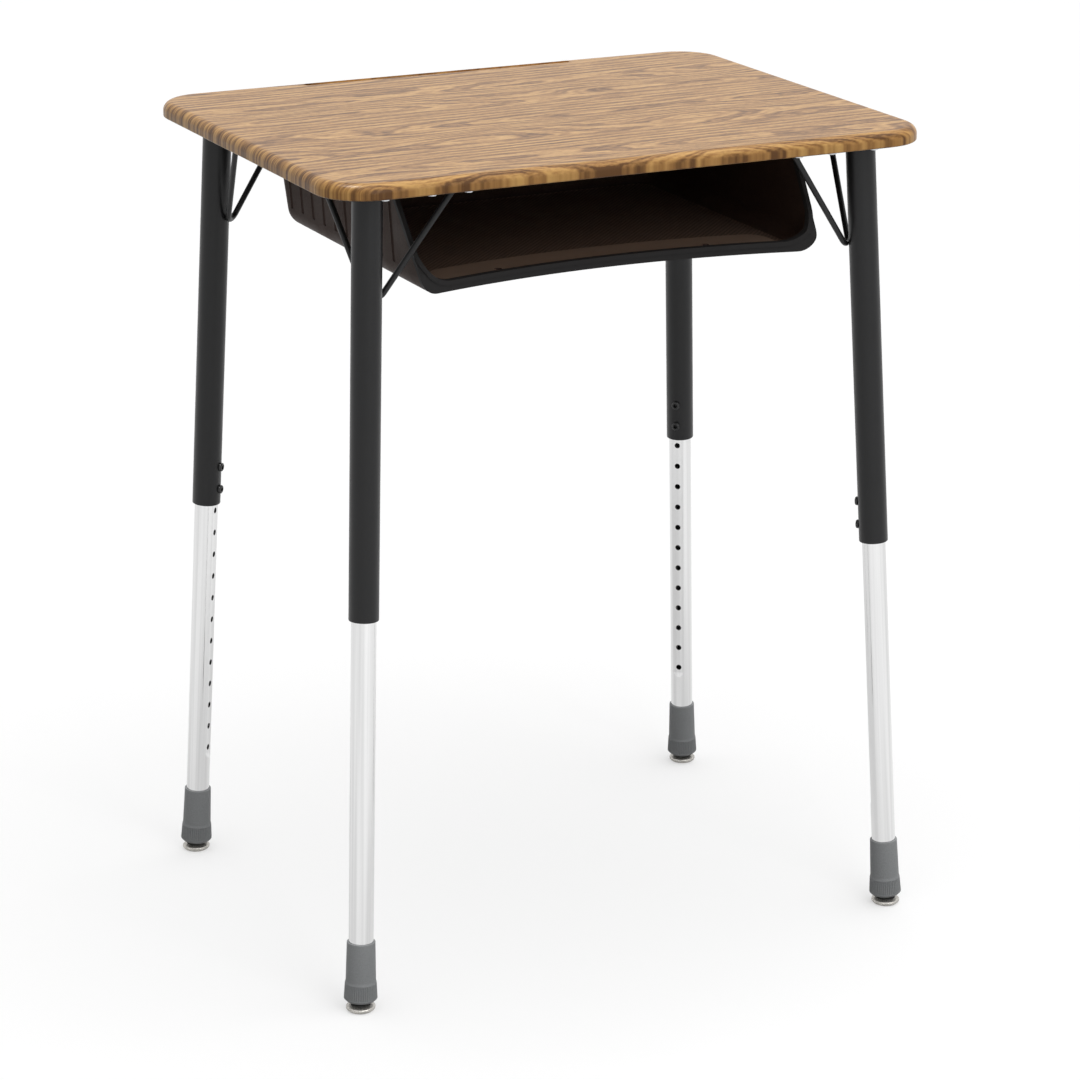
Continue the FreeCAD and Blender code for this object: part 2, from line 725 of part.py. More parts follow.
def make_brace(corner, above):
    """Round rod bent to a V, cut level under the leg plate."""
    body = new_body(corner + "_rod")
    path = sketch_on(body, "YZ_Plane", "Path")
    radius = size("brace_bend_radius")
    end = point_at("brace_end_span", "brace_end_rise")
    centre = Vector(0, radius, 0)
    away = end - centre
    turn = math.atan2(away.y, away.x) - math.acos(radius / away.Length)
    bend = path.addGeometry(Part.ArcOfCircle(Part.Circle(centre, UP, radius), -math.pi / 2, turn), False)
    arm = path.addGeometry(Part.LineSegment(path.getPoint(bend, 2), end), False)
    path.addConstraint(Sketcher.Constraint("Coincident", bend, 1, -1, 1))
    path.addConstraint(Sketcher.Constraint("PointOnObject", bend, 3, -2))
    path.addConstraint(Sketcher.Constraint("Tangent", bend, 2, arm, 1))
    constrain(path, "brace_bend_radius", "Radius", bend)
    hold_point(path, arm, 2, "brace_end_span", "brace_end_rise")
    section = sketch_on(body, "XZ_Plane", "Section")
    add_circle(section, "brace_radius")
    rod = add_feature(body, "AdditivePipe", "Arm", section)
    rod.Spine = (path, [])
    doc.recompute()
    mirrored = body.newObject("PartDesign::Mirrored", "BothArms")
    mirrored.Originals = [rod]
    mirrored.MirrorPlane = (origin_feature(body, "XZ_Plane"), [""])
    body.Tip = mirrored
    body.Placement = brace_frame(corner)
    return keep(boolean("Cut", corner + "_brace", (body, above)))


def make_height_screws(corner, screw):
    """Two screws that pin the lower leg in the upper leg."""
    turned = Rotation(ACROSS, 90)
    levels = [size("screw_low"), size("screw_high")]
    spots = [Placement(Vector(size("upper_leg_radius"), 0, level), turned) for level in levels]
    return keep(copies(corner + "_height_screws", screw, [leg_frame(corner) * spot for spot in spots]))


def make_lower_leg(corner):
    """Tube with a flat pressed along its inner side and a row of height holes in the flat."""
    body = new_body(corner + "_lower_leg")
    outside = sketch_on(body, "XY_Plane", "Outside", "lower_leg_foot")
    add_circle(outside, "lower_leg_radius")
    add_feature(body, "Pad", "Tube", outside, Length="lower_leg_length")
    press = sketch_on(body, "XZ_Plane", "Press")
    add_outline(press, (
        ("lower_leg_radius", "flat_foot"),
        ("hole_reach", "flat_foot"),
        ("hole_reach", "lower_leg_top"),
        ("flat_outer", "lower_leg_top"),
        ("flat_outer", "flat_full"),
    ))
    add_feature(body, "Pocket", "Flat", press, Length="hole_reach").Midplane = True
    foot = sketch_on(body, "XY_Plane", "RoundBore", "lower_leg_foot")
    add_circle(foot, "lower_leg_bore")
    add_feature(body, "Pocket", "RoundPocket", foot, Length="lower_leg_round_bore").Reversed = True
    head = sketch_on(body, "XY_Plane", "FlatBore", "lower_leg_top")
    add_flat_circle(head, "lower_leg_bore", "flat_inner")
    add_feature(body, "Pocket", "FlatPocket", head, Length="lower_leg_flat_bore")
    spot = sketch_on(body, "YZ_Plane", "Spot")
    add_circle(spot, "hole_radius", None, "hole_low")
    hole = add_feature(body, "Pocket", "Hole", spot, Length="hole_reach")
    hole.Reversed = True
    doc.recompute()
    row_of_holes = body.newObject("PartDesign::LinearPattern", "Holes")
    row_of_holes.Originals = [hole]
    row_of_holes.Direction = (origin_feature(body, "Z_Axis"), [""])
    bind(row_of_holes, Length="hole_run", Occurrences="hole_count")
    body.Tip = row_of_holes
    body.Placement = leg_frame(corner)
    return keep(body)


def make_boot(corner):
    """Moulded boot with a fluted band at its foot."""
    body = new_body(corner + "_boot")
    turned = revolve(body, (
        ("stem_radius", "boot_gap"),
        ("boot_toe_radius", "boot_gap"),
        ("boot_band_radius", "boot_toe_top"),
        ("boot_shoulder_radius", "boot_band_top"),
        ("boot_waist_radius", "boot_band_top"),
        ("boot_rim_radius", "boot_top"),
        ("lower_leg_radius", "boot_top"),
        ("lower_leg_radius", "lower_leg_foot"),
        ("stem_radius", "lower_leg_foot"),
    ))
    round_edges(body, turned, "boot_rim_round", ring_at("boot_rim_radius", "boot_top"))
    spot = sketch_on(body, "XY_Plane", "Spot", "boot_band_top")
    add_circle(spot, "boot_flute_radius", "boot_flute_centre")
    flute = add_feature(body, "Pocket", "Flute", spot, Length="boot_band_height")
    doc.recompute()
    band = body.newObject("PartDesign::PolarPattern", "Flutes")
    band.Originals = [flute]
    band.Axis = (origin_feature(body, "Z_Axis"), [""])
    band.Angle = ALL_ROUND
    bind(band, Occurrences="boot_flute_count")
    body.Tip = band
    body.Placement = leg_frame(corner)
    return keep(body)


def make_leg_plug(corner):
    """Insert in the end of the lower leg with a blind bore for the glide stem."""
    body = new_body(corner + "_leg_plug")
    revolve(body, (
        ("stem_radius", "lower_leg_foot"),
        ("lower_leg_bore", "lower_leg_foot"),
        ("lower_leg_bore", "plug_top"),
        (None, "plug_top"),
        (None, "stem_top"),
        ("stem_radius", "stem_top"),
    ))
    body.Placement = leg_frame(corner)
    return keep(body)


def make_glide_stem(corner):
    """Stem with a neck and a ball end."""
    label = corner + "_glide_stem"
    ball = sphere(label + "_ball", "ball_radius", "ball_height")
    neck = cylinder(label + "_neck", "neck_radius", "neck_length", z="ball_height")
    shank = cylinder(label + "_shank", "stem_radius", "stem_length", z="boot_gap")
    stem = boolean("MultiFuse", label, [ball, neck, shank])
    stem.Placement = leg_frame(corner)
    return keep(stem)


def make_glide_cushion(corner):
    """Rubber disc with a socket for the ball."""
    label = corner + "_glide_cushion"
    body = new_body(label + "_disc")
    revolve(body, (
        (None, "glide_gauge"),
        ("glide_inner_sole", "glide_gauge"),
        ("glide_inner_radius", "glide_inner_low"),
        ("glide_inner_radius", "glide_inner_high"),
        ("cushion_neck_radius", "glide_inner_rise"),
        ("cushion_neck_radius", "cushion_rise"),
        (None, "cushion_rise"),
    ))
    cushion = boolean("Cut", label, (body, sphere(label + "_socket", "socket_radius", "ball_height")))
    cushion.Placement = glide_frame(corner)
    return keep(cushion)


def make_glide_base(corner):
    """Pressed steel cup with its edge rolled in over the cushion."""
    body = new_body(corner + "_glide_base")
    revolve(body, (
        (None, None),
        ("glide_sole_radius", None),
        ("glide_radius", "glide_edge_low"),
        ("glide_radius", "glide_edge_high"),
        ("glide_mouth_radius", "glide_rise"),
        ("glide_mouth_radius", "glide_inner_rise"),
        ("glide_inner_radius", "glide_inner_high"),
        ("glide_inner_radius", "glide_inner_low"),
        ("glide_inner_sole", "glide_gauge"),
        (None, "glide_gauge"),
    ))
    body.Placement = glide_frame(corner)
    return keep(body)


# Book box

def pad_section(body, foot_half, foot_level, head_half, head_level, length):
    """Flared block along Y from the half widths and levels of its foot and head."""
    section = sketch_on(body, "XZ_Plane", "Section")
    add_outline(section, (
        ("-" + foot_half, foot_level),
        (foot_half, foot_level),
        (head_half, head_level),
        ("-" + head_half, head_level),
    ))
    return add_feature(body, "Pad", "Block", section, Length=length)


def make_tub(label, foot, head, corner_radius, bottom_round):
    """Flared block, rounded behind and below, its foot and head each a half width, a rear and a level."""
    body = new_body(label)
    foot_half, foot_rear, foot_level = foot
    head_half, head_rear, head_level = head
    tub = pad_section(body, foot_half, foot_level, head_half, head_level, "box_run")
    tub.Midplane = True
    lean = sketch_on(body, "YZ_Plane", "Lean")
    add_outline(lean, (
        (foot_rear, foot_level),
        ("trim_depth", foot_level),
        ("trim_depth", head_level),
        (head_rear, head_level),
    ))
    tub = add_feature(body, "Pocket", "Rear", lean, Length="box_clear_width")
    tub.Midplane = True
    rear_line = size(foot_rear) - 1e-3

    def rear_upright(edge):
        """True for the two leaning edges of the rear corners."""
        levels = [vertex.Z for vertex in edge.Vertexes]
        return max(levels) - min(levels) > 1 and all(vertex.Y > rear_line for vertex in edge.Vertexes)

    def bottom_edge(edge):
        """True for the bottom edges of the sides, the rear corners and the rear."""
        return edge_at(foot_level)(edge) and any(vertex.Y > -size("box_front") for vertex in edge.Vertexes)

    tub = round_edges(body, tub, corner_radius, rear_upright)
    round_edges(body, tub, bottom_round, bottom_edge)
    return body


def make_throat(label, foot_half, foot_level, head_half, head_level, bottom_round):
    """Flared block through the front with rounded bottom edges."""
    body = new_body(label)
    throat = pad_section(body, foot_half, foot_level, head_half, head_level, "box_reserve")

    def side_edge(edge):
        """True for the two bottom edges that run along Y."""
        return edge_at(foot_level)(edge) and edge.BoundBox.YLength > 1

    round_edges(body, throat, bottom_round, side_edge)
    return body


def make_front_region(label, bow, setback):
    """Everything in front of the open front edge: a wide bowed cylinder and the slanted sides."""
    body = new_body(label + "_slant")
    outline = sketch_on(body, "YZ_Plane", "Outline")
    add_outline(outline, (
        ("-trim_depth", "box_clear_low"),
        ("-box_front", "box_clear_low"),
        ("-box_front", "box_slant_foot"),
        ("-box_slant_head_y", "box_slant_head"),
        ("-trim_depth", "box_slant_head"),
    ))
    slant = add_feature(body, "Pad", "Slant", outline, Length="box_clear_width")
    slant.Midplane = True
    round_edges(body, slant, "box_slant_round", edge_at("box_slant_foot"))
    if setback:
        bind_base(body, y=setback)
    bowed = cylinder(label + "_bow", bow, "box_clear_height", y="-box_bow_centre", z="box_clear_low")
    return boolean("MultiFuse", label, [body, bowed])


def make_strip():
    """Raised strip of floor behind the lip, parallel to the bow, with rounded rear corners."""
    disc = cylinder("strip_disc", "box_strip_bow", "box_strip_height", y="-box_bow_centre", z="box_bottom")
    span = block("strip_span", "box_strip_width", "trim_depth", "trim_height",
                 "-box_strip_half", "-trim_depth", "box_clear_low")
    strip = boolean("MultiCommon", "strip_square", [disc, span])
    doc.recompute()

    def rear_corner(edge):
        """True for the two upright edges at the rear ends of the strip."""
        levels = [vertex.Z for vertex in edge.Vertexes]
        behind = all(vertex.Y > -size("box_front") for vertex in edge.Vertexes)
        return behind and max(levels) - min(levels) > 1

    radius = size("box_strip_round")
    rounded = doc.addObject("Part::Fillet", "strip")
    rounded.Base = strip
    rounded.Edges = [(number, radius, radius) for number in edges_where(strip.Shape, rear_corner)]
    return rounded


def make_flanges():
    """Blocks of the screw flange along both sides and the rear."""
    run = ("flange_depth", "flange_length", "flange_thickness")
    right = block("flange_right", *run, "flange_inner_x", "-flange_front", "flange_bottom")
    left = block("flange_left", *run, "-flange_outer_x", "-flange_front", "flange_bottom")
    back = block("flange_back", "flange_back_width", "flange_depth", "flange_thickness",
                 "-flange_back_half", "flange_inner_y", "flange_bottom")
    return [right, left, back]


def flute_places():
    """Places of the flutes, each lying in the slope of its side."""
    slope = math.atan(size("box_slope"))
    proud = size("flute_radius") - size("flute_sink")
    x = size("box_half") + size("flute_foot") * size("box_slope") + proud * math.cos(slope)
    z = size("box_bottom") + size("flute_foot") - proud * math.sin(slope)
    places = []
    last = size("box_rear") - size("flute_rear_margin")
    for y in spread(last - size("flute_run"), last, int(size("flute_count"))):
        for side in SIDES:
            places.append(Placement(Vector(side * x, y, z), Rotation(ACROSS, side * math.degrees(slope))))
    return places


def strip_hole_places():
    """Places of the two small holes in the raised strip of the floor."""
    x = size("box_half") - size("box_hole_inset")
    reach = size("box_bow_radius") + size("box_hole_setback")
    y = math.sqrt(reach ** 2 - x ** 2) - size("box_bow_centre")
    return [Placement(Vector(side * x, y, 0), Rotation()) for side in SIDES]


def make_book_box(screw_places):
    """One-piece moulded tub, open to the front, with a beaded front, a bowed lip and a screw flange."""
    outer = make_tub("box_outer", ("box_half", "box_rear", "box_bottom"),
                     ("box_top_half", "box_top_rear", "underside"), "box_corner_radius", "box_bottom_round")
    inner = make_tub("box_inner", ("box_inner_half", "box_inner_rear", "box_inner_bottom"),
                     ("box_inner_top_half", "box_inner_top_rear", "box_inner_top"),
                     "box_inner_corner", "box_inner_round")
    opening = make_throat("box_opening", "box_opening_half", "box_lip_level",
                          "box_opening_top_half", "box_opening_top", "box_opening_round")
    ring = make_throat("box_ring", "box_bead_half", "box_bead_bottom",
                       "box_bead_top_half", "underside", "box_bead_round")
    front = make_front_region("box_front_region", "box_bow_radius", None)
    before_web = make_front_region("box_face_region", "box_face_bow", "box_bead_stand")
    before_bead_back = make_front_region("box_bead_region", "box_bead_bow", "box_bead_depth")
    before_web_back = make_front_region("box_web_region", "box_web_bow", "box_web_depth")
    flute = cylinder("flute", "flute_radius", "flute_length")
    fluted = boolean("Cut", "box_fluted", (outer, copies("flutes", flute, flute_places())))
    kept = boolean("MultiFuse", "box_kept", [before_web_back, make_strip()])
    hollow = boolean("Cut", "box_hollow", (inner, kept))
    walled = boolean("Cut", "box_walled", (fluted, hollow))
    faced = boolean("Cut", "box_faced", (walled, before_web))
    bead_block = boolean("MultiCommon", "box_bead_block", [ring, before_bead_back])
    bead = boolean("Cut", "box_bead", (bead_block, front))
    solid = boolean("MultiFuse", "box_solid", [faced, bead] + make_flanges())
    opened = boolean("Cut", "box_open", (solid, opening))
    strip_hole = cylinder("strip_hole", "box_hole_radius", "underside")
    flange_hole = cylinder("flange_hole", "wood_screw_hole_radius", "flange_thickness")
    strip_holes = copies("strip_holes", strip_hole, strip_hole_places())
    flange_holes = copies("flange_holes", flange_hole, screw_places)
    pierced = boolean("Cut", "box_pierced", (opened, strip_holes))
    return keep(boolean("Cut", "book_box", (pierced, flange_holes)))


# Desk

def make_desk():
    """All pieces of the desk."""
    wood_screw = make_wood_screw()
    height_screw = make_height_screw()
    keep(copies("leg_plate_screws", wood_screw, plate_screw_places()))
    keep(copies("book_box_screws", wood_screw, flange_screw_places()))
    make_top(copies("top_holes", wood_screw, plate_screw_places() + flange_screw_places()))
    make_book_box(flange_screw_places())
    above = block("above_plates", "trim_width", "trim_depth", "trim_height",
                  "-top_width", "-top_depth", "plate_bottom")
    for corner in CORNERS:
        make_leg_plate(corner)
        make_upper_leg(corner, above)
        make_brace(corner, above)
        make_height_screws(corner, height_screw)
        make_lower_leg(corner)
        make_boot(corner)
        make_leg_plug(corner)
        make_glide_stem(corner)
        make_glide_cushion(corner)
        make_glide_base(corner)


def check_and_write():
    """Stop on any failed feature or bad shape, then write one file per node."""
    doc.recompute()
    for item in doc.Objects:
        if {"Invalid", "Error"} & set(item.State):
            raise RuntimeError(f"{item.Name} failed: {item.State}")
    for piece in nodes:
        if piece.Shape.isNull() or not piece.Shape.isValid():
            raise RuntimeError(f"{piece.Label} has a bad shape")
        piece.Shape.exportStep(f"parts/{piece.Label}.step")


make_desk()
check_and_write()
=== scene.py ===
import json
import math

import bmesh
import bpy
import numpy as np
from bpy.props import FloatProperty, FloatVectorProperty, IntProperty, PointerProperty
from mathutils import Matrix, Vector

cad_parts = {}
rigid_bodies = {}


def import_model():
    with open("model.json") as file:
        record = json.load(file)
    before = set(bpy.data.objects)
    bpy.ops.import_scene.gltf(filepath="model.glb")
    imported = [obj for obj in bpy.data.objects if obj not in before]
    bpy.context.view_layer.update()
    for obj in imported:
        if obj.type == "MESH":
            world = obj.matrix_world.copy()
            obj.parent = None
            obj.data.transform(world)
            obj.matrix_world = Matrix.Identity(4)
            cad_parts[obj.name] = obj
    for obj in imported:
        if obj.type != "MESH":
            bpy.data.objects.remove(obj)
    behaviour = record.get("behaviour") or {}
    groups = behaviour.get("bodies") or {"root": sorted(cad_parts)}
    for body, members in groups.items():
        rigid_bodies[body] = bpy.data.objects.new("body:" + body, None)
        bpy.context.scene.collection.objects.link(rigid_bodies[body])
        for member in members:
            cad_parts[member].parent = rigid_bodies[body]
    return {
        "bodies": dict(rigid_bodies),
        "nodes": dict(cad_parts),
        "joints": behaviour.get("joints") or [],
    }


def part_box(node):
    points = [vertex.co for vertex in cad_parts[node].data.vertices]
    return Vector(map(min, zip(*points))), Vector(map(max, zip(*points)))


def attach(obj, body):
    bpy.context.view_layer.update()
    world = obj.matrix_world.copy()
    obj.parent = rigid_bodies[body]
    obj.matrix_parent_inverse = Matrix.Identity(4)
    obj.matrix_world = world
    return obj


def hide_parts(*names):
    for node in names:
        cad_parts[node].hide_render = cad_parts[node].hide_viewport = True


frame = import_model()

bl_info = {
    "name": "Student desk with book box",
    "version": (1, 0, 0),
    "blender": (4, 5, 0),
    "location": "View3D > Sidebar > Desk",
    "description": "Dresses the packed student desk in its finishes and stands it in a plain studio",
    "category": "Object",
}

CORNERS = ("front_left", "front_right", "rear_right", "rear_left")
JOINTS = {joint["name"]: joint for joint in frame["joints"]}
PLATE_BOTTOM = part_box("front_left_upper_leg")[1].z
BOX_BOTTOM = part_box("book_box")[0].z
MILLIMETRE = 0.001

# Points closer than this are merged, and edges with a larger angle than this stay sharp
MERGE_DISTANCE = 2e-6
SHARP_ANGLE = math.radians(40)

# Points round each piece, round each flute and along the bend of a rod
TUBE_POINTS = 96
ROD_POINTS = 32
GLIDE_POINTS = 72
BUTTON_SCREW_POINTS = 72
PAN_SCREW_POINTS = 64
FLUTE_POINTS = 8
BEND_POINTS = 25

# Points in the rounding of a corner where it isn't the usual five
BOOT_STEPS = 4
SCREW_STEPS = 6

# Corners of the turned pieces in millimetres: radius, height and how far the rounding reaches
BOOT_TOE = ((4.0, 0.0, 0.3), (14.5, 0.0, 0.6))
BOOT_SLEEVE = (
    (15.5, 22.0, 1.0), (14.55, 63.6, 0.7), (12.7, 63.6, 0.3), (12.7, 7.6, 0.0), (4.0, 7.6, 0.0),
)
CUP = (
    (0.0, 0.0, 0.0), (12.2, 0.0, 1.2), (15.1, 2.6, 1.1), (15.1, 5.0, 1.1), (10.2, 7.2, 0.45),
    (10.2, 6.0, 0.45), (13.9, 4.4, 0.5), (13.9, 3.2, 0.5), (11.6, 1.2, 0.4), (0.0, 1.2, 0.0),
)
CUSHION = (
    (0.0, 1.2, 0.0), (11.6, 1.2, 0.2), (13.9, 3.2, 0.5), (13.9, 4.4, 0.5), (9.9, 6.0, 0.3),
    (9.9, 8.2, 0.8),
)
BUTTON_SCREW = (
    (0.0, -6.75, 0.0), (2.7, -6.75, 0.4), (2.7, 0.0, 0.0), (4.7, 0.0, 0.2), (4.7, 3.0, 1.7),
    (2.9, 3.0, 0.05),
)
PAN_SCREW = (
    (3.2, -2.4, 0.0), (4.8, -2.4, 1.55), (4.8, 0.0, 0.2), (2.1, 0.0, 0.0), (2.1, 10.5, 0.5),
    (0.0, 14.0, 0.0),
)

# Fluted band of the boot in millimetres: its heights, lower radius, the height over which the radius loses
# one millimetre, its rounding and its rows
BAND_HEIGHTS = (2.7, 19.6)
BAND_RADIUS = 17.2
BAND_TAPER = 17.7
BAND_ROUND = 0.5
BAND_ROWS = 16

# Heights in metres between which the flutes fade in and out, and the radius that only the outer wall has
FLUTES_IN = (0.0026, 0.0038)
FLUTES_OUT = (0.0194, 0.0184)
OUTER_WALL = 0.0159

# Ball socket of the cushion in millimetres: radius, height of its centre, mouth above the centre; its rows
SOCKET_RADIUS = 4.5
SOCKET_HEIGHT = 6.2
SOCKET_MOUTH = 2.0
SOCKET_ROWS = 13

# Hexagon socket of the height screws: half its width in metres, and per row the share of that width and the
# height in millimetres
HEXAGON_HALF = 0.0023
HEXAGON_ROWS = ((1.04, 2.98), (0.98, 2.85), (0.98, -0.3), (0.0, -0.6))

# Face of the wood screws' heads in millimetres: how far out it is level, its height, and its rows
FACE_RADIUS = 3.0
FACE_HEIGHT = -2.4
FACE_ROWS = 19

# Cross recess of the wood screws in metres: half the width and half the length of a slot at the top and at
# the bottom of its sloping sides, its depth, and a height that only the head's face lies below
RECESS_WIDTH = (0.00065, 0.0004)
RECESS_LENGTH = (0.0024, 0.0018)
RECESS_DEPTH = 0.0012
RECESS_BELOW = -0.0023

# Turn from one wood screw to the next in radians, so that no two recesses stand alike
SCREW_TWIST = 2.4

# Real sizes of the finishes' patterns in metres; those of the wood run along the desk and across it
RING_DRIFT = (0.2, 0.05)
RING_WIGGLE = (0.0303, 0.01)
WOOD_FLAKE = (0.07143, 0.005263)
PORE_LENGTH = 0.006667
PLASTIC_CLOUD = 0.04
PAINT_PEEL = 0.0025
PAINT_CLOUD = 0.03333
CHROME_BAND = (0.004, 0.004, 0.4)
VINYL_GRAIN = 0.0007143
PRESS_RING = 0.0007
PRESS_PATCH = 0.001

# Scale that takes the height out of a place
FLATTEN = (1.0, 1.0, 0.0)

# Sockets of a node that mixes two colours
MIX_FACTOR, MIX_FIRST, MIX_SECOND, MIX_RESULT = 0, 6, 7, 2

# Floor: half its side in metres, and the points along a side
FLOOR_HALF = 30.0
FLOOR_POINTS = 7


def linear(code):
    """Linear red, green and blue of an sRGB hex colour such as "#a5783c", by the curve of that standard."""
    value = np.array([int(code[place:place + 2], 16) for place in (1, 3, 5)]) / 255
    low = value / 12.92
    high = ((value + 0.055) / 1.055) ** 2.4
    return tuple(float(part) for part in np.where(value <= 0.04045, low, high))


def length(name, description, default):
    """Settings of a length in metres."""
    return {
        "name": name,
        "description": description,
        "default": default,
        "unit": "LENGTH",
        "precision": 5,
    }


def point(name, description, default):
    """Settings of a place in metres."""
    return {
        "name": name,
        "description": description,
        "default": default,
        "subtype": "TRANSLATION",
        "size": 3,
    }


def colour(name, description, default):
    """Settings of a colour whose default is an sRGB hex value."""
    return {
        "name": name,
        "description": description,
        "default": linear(default),
        "subtype": "COLOR",
        "size": 3,
        "min": 0.0,
        "max": 1.0,
    }


# What a user would change

class DeskSizes(bpy.types.PropertyGroup):
    """Sizes of the finer forms and of the patterns in the finishes."""
    upper_radius: FloatProperty(**length("Upper leg radius", "Outer radius of the black tube", 0.01525))
    upper_bore: FloatProperty(**length("Upper leg bore", "Inner radius of the black tube", 0.0131))
    upper_foot: FloatProperty(**length("Upper leg foot", "Lower end of the tube along the leg", 0.4126))
    lip_round: FloatProperty(**length("Lip rounding", "Rounding of the tube's lower edge", 0.0008))
    weld_leg: FloatProperty(**length("Weld width", "Width of the weld under the plate", 0.0025))
    rod_radius: FloatProperty(**length("Brace rod radius", "Radius of the bent rod", 0.00305))
    rod_bend: FloatProperty(**length("Brace bend radius", "Radius of the rod's bend", 0.0115))
    rod_drop: FloatProperty(**length("Brace drop", "Height of the plate above the bend", 0.1065))
    rod_reach: FloatProperty(**length("Brace reach", "Bend's distance from the leg's line", 0.0182))
    rod_swing: FloatProperty(**length("Brace swing", "How far the arms lean inwards", 0.034))
    rod_span: FloatProperty(**length("Brace half span", "Half the distance between the ends", 0.0688))
    boot_gap: FloatProperty(**length("Boot gap", "Lower end of the boot along the leg", 0.0108))
    boot_flutes: IntProperty(name="Boot flutes", description="Flutes round the boot", default=48, min=12)
    boot_flute_depth: FloatProperty(**length("Boot flute depth", "Depth of the flutes", 0.0008))
    height_screw_rise: FloatProperty(**length("Screw rise", "First screw above the tube's end", 0.0174))
    hole_pitch: FloatProperty(**length("Hole pitch", "Distance between height holes", 0.0254))
    box_front: FloatProperty(**length("Box front", "Front corners before the desk's middle", 0.208))
    box_half: FloatProperty(**length("Box half width", "Half the width of the box's bottom", 0.2206))
    box_bow: FloatProperty(**length("Box bow", "How far the box's lip bows back", 0.031))
    box_slant_rise: FloatProperty(**length("Slant rise", "Where the mouth's sides start", 0.017))
    box_slant: FloatProperty(name="Slant", description="Way back per rise of those sides", default=0.721)
    box_bead: FloatProperty(**length("Bead", "Depth of the bead round the box's mouth", 0.008))
    box_wall: FloatProperty(**length("Box wall", "Thickness of the box's floor", 0.003))
    box_strip: FloatProperty(**length("Strip", "Rise of the strip along the box's front", 0.004))
    arch_spacing: FloatProperty(**length("Arch spacing", "Distance between rows of arches", 0.088))
    arch_length: FloatProperty(**length("Arch length", "Distance between arches of one row", 0.24))
    grain_spacing: FloatProperty(**length("Grain spacing", "Distance between broad streaks", 0.0105))
    pore_spacing: FloatProperty(**length("Pore spacing", "Distance between pore lines", 0.0011))
    pebble_size: FloatProperty(**length("Pebble size", "Size of the moulded pebble grain", 0.0012))
    weave_pitch: FloatProperty(**length("Weave pitch", "Pitch of the box's basket pattern", 0.0045))


class DeskColours(bpy.types.PropertyGroup):
    """Colours of the finishes."""
    wood_light: FloatVectorProperty(**colour("Wood, light", "Early wood between the streaks", "#c89c5e"))
    wood_mid: FloatVectorProperty(**colour("Wood, middle", "Body of the grain", "#a67a47"))
    wood_dark: FloatVectorProperty(**colour("Wood, dark", "Late wood in the streaks", "#664629"))
    plastic: FloatVectorProperty(**colour("Box plastic", "Brown-black of the book box", "#453731"))
    rim: FloatVectorProperty(**colour("Box rim", "Bead round the box's mouth", "#302f2f"))
    # Painted light: a lighter colour laid on the box's inner floor and strip, and painted glints on the
    # crests of its basket pattern
    scuff: FloatVectorProperty(**colour("Painted light on plastic", "Painted light and glints in the box", "#8f7b6d"))
    paint: FloatVectorProperty(**colour("Leg paint", "Charcoal of the powder coat", "#1e1e1f"))
    chrome: FloatVectorProperty(**colour("Chrome", "Plating of the lower legs", "#dedede"))
    boot: FloatVectorProperty(**colour("Boot", "Grey of the moulded boots", "#909293"))
    nickel: FloatVectorProperty(**colour("Nickel", "Plating of the glides", "#cfccc6"))
    zinc: FloatVectorProperty(**colour("Zinc", "Plating of the wood screws and stems", "#d5d7da"))
    oxide: FloatVectorProperty(**colour("Black oxide", "Blackened height screws", "#0e0e0f"))
    rubber: FloatVectorProperty(**colour("Rubber", "Glide cushions", "#373634"))
    nylon: FloatVectorProperty(**colour("Nylon", "Plugs in the leg ends", "#d9d4c6"))


class DeskStage(bpy.types.PropertyGroup):
    """Camera, light and floor of the studio."""
    camera_place: FloatVectorProperty(
        **point("Camera", "Place of the camera", (-1.61275, -3.33309, 1.59047)))
    camera_target: FloatVectorProperty(
        **point("Target", "Point the camera looks at", (0.00094, -0.01185, 0.39339)))
    lens: FloatProperty(name="Lens", description="Focal length in millimetres", default=120.475)
    sensor: FloatProperty(name="Sensor", description="Width of the picture in millimetres", default=36.0)
    lamp_target: FloatVectorProperty(**point("Lamp target", "Point the lamps face", (0.0, 0.0, 0.5)))
    dome: FloatProperty(name="Dome", description="Level of the light from all round", default=0.22)
    sky: FloatProperty(name="Sky", description="Strength of the soft light from above", default=2.65)
    sky_from: FloatVectorProperty(**point("Sky from", "Where that light comes from", (0.4, -0.25, 4.0)))
    sky_spread: FloatProperty(
        name="Sky spread", description="Angle that the light from above fills", default=math.radians(80),
        subtype="ANGLE")
    front: FloatProperty(name="Front", description="Watts of the soft lamp in front", default=25.0)
    front_from: FloatVectorProperty(**point("Front from", "Place of that lamp", (0.2, -2.9, 1.9)))
    front_size: FloatProperty(**length("Front size", "Side of that lamp", 1.6))
    glint: FloatProperty(name="Glint", description="Watts of the lamp that only glints", default=34.0)
    glint_from: FloatVectorProperty(**point("Glint from", "Place of that lamp", (-0.7, -0.05, 2.7)))
    glint_size: FloatProperty(**length("Glint size", "Side of that lamp", 0.4))
    floor_white: FloatProperty(name="Floor white", description="Colour that the floor shows", default=0.96)
    floor_grey: FloatProperty(name="Floor grey", description="Share of light it throws back", default=0.28)
    floor_share: FloatProperty(
        name="Floor shadow", description="How much of the desk's shadow the floor shows", default=0.5,
        min=0.0, max=1.0, subtype="FACTOR")
    floor_mirror: FloatProperty(
        name="Mirrored shadow", description="How much more of the shadow reflections show", default=0.3,
        min=0.0, max=1.0, subtype="FACTOR")


# Finishes

def connect(tree, node, links):
    """Give a node's inputs the sockets that they read or the values that they hold."""
    for key, value in links.items():
        if isinstance(value, bpy.types.NodeSocket):
            tree.links.new(value, node.inputs[key])
        else:
            node.inputs[key].default_value = value


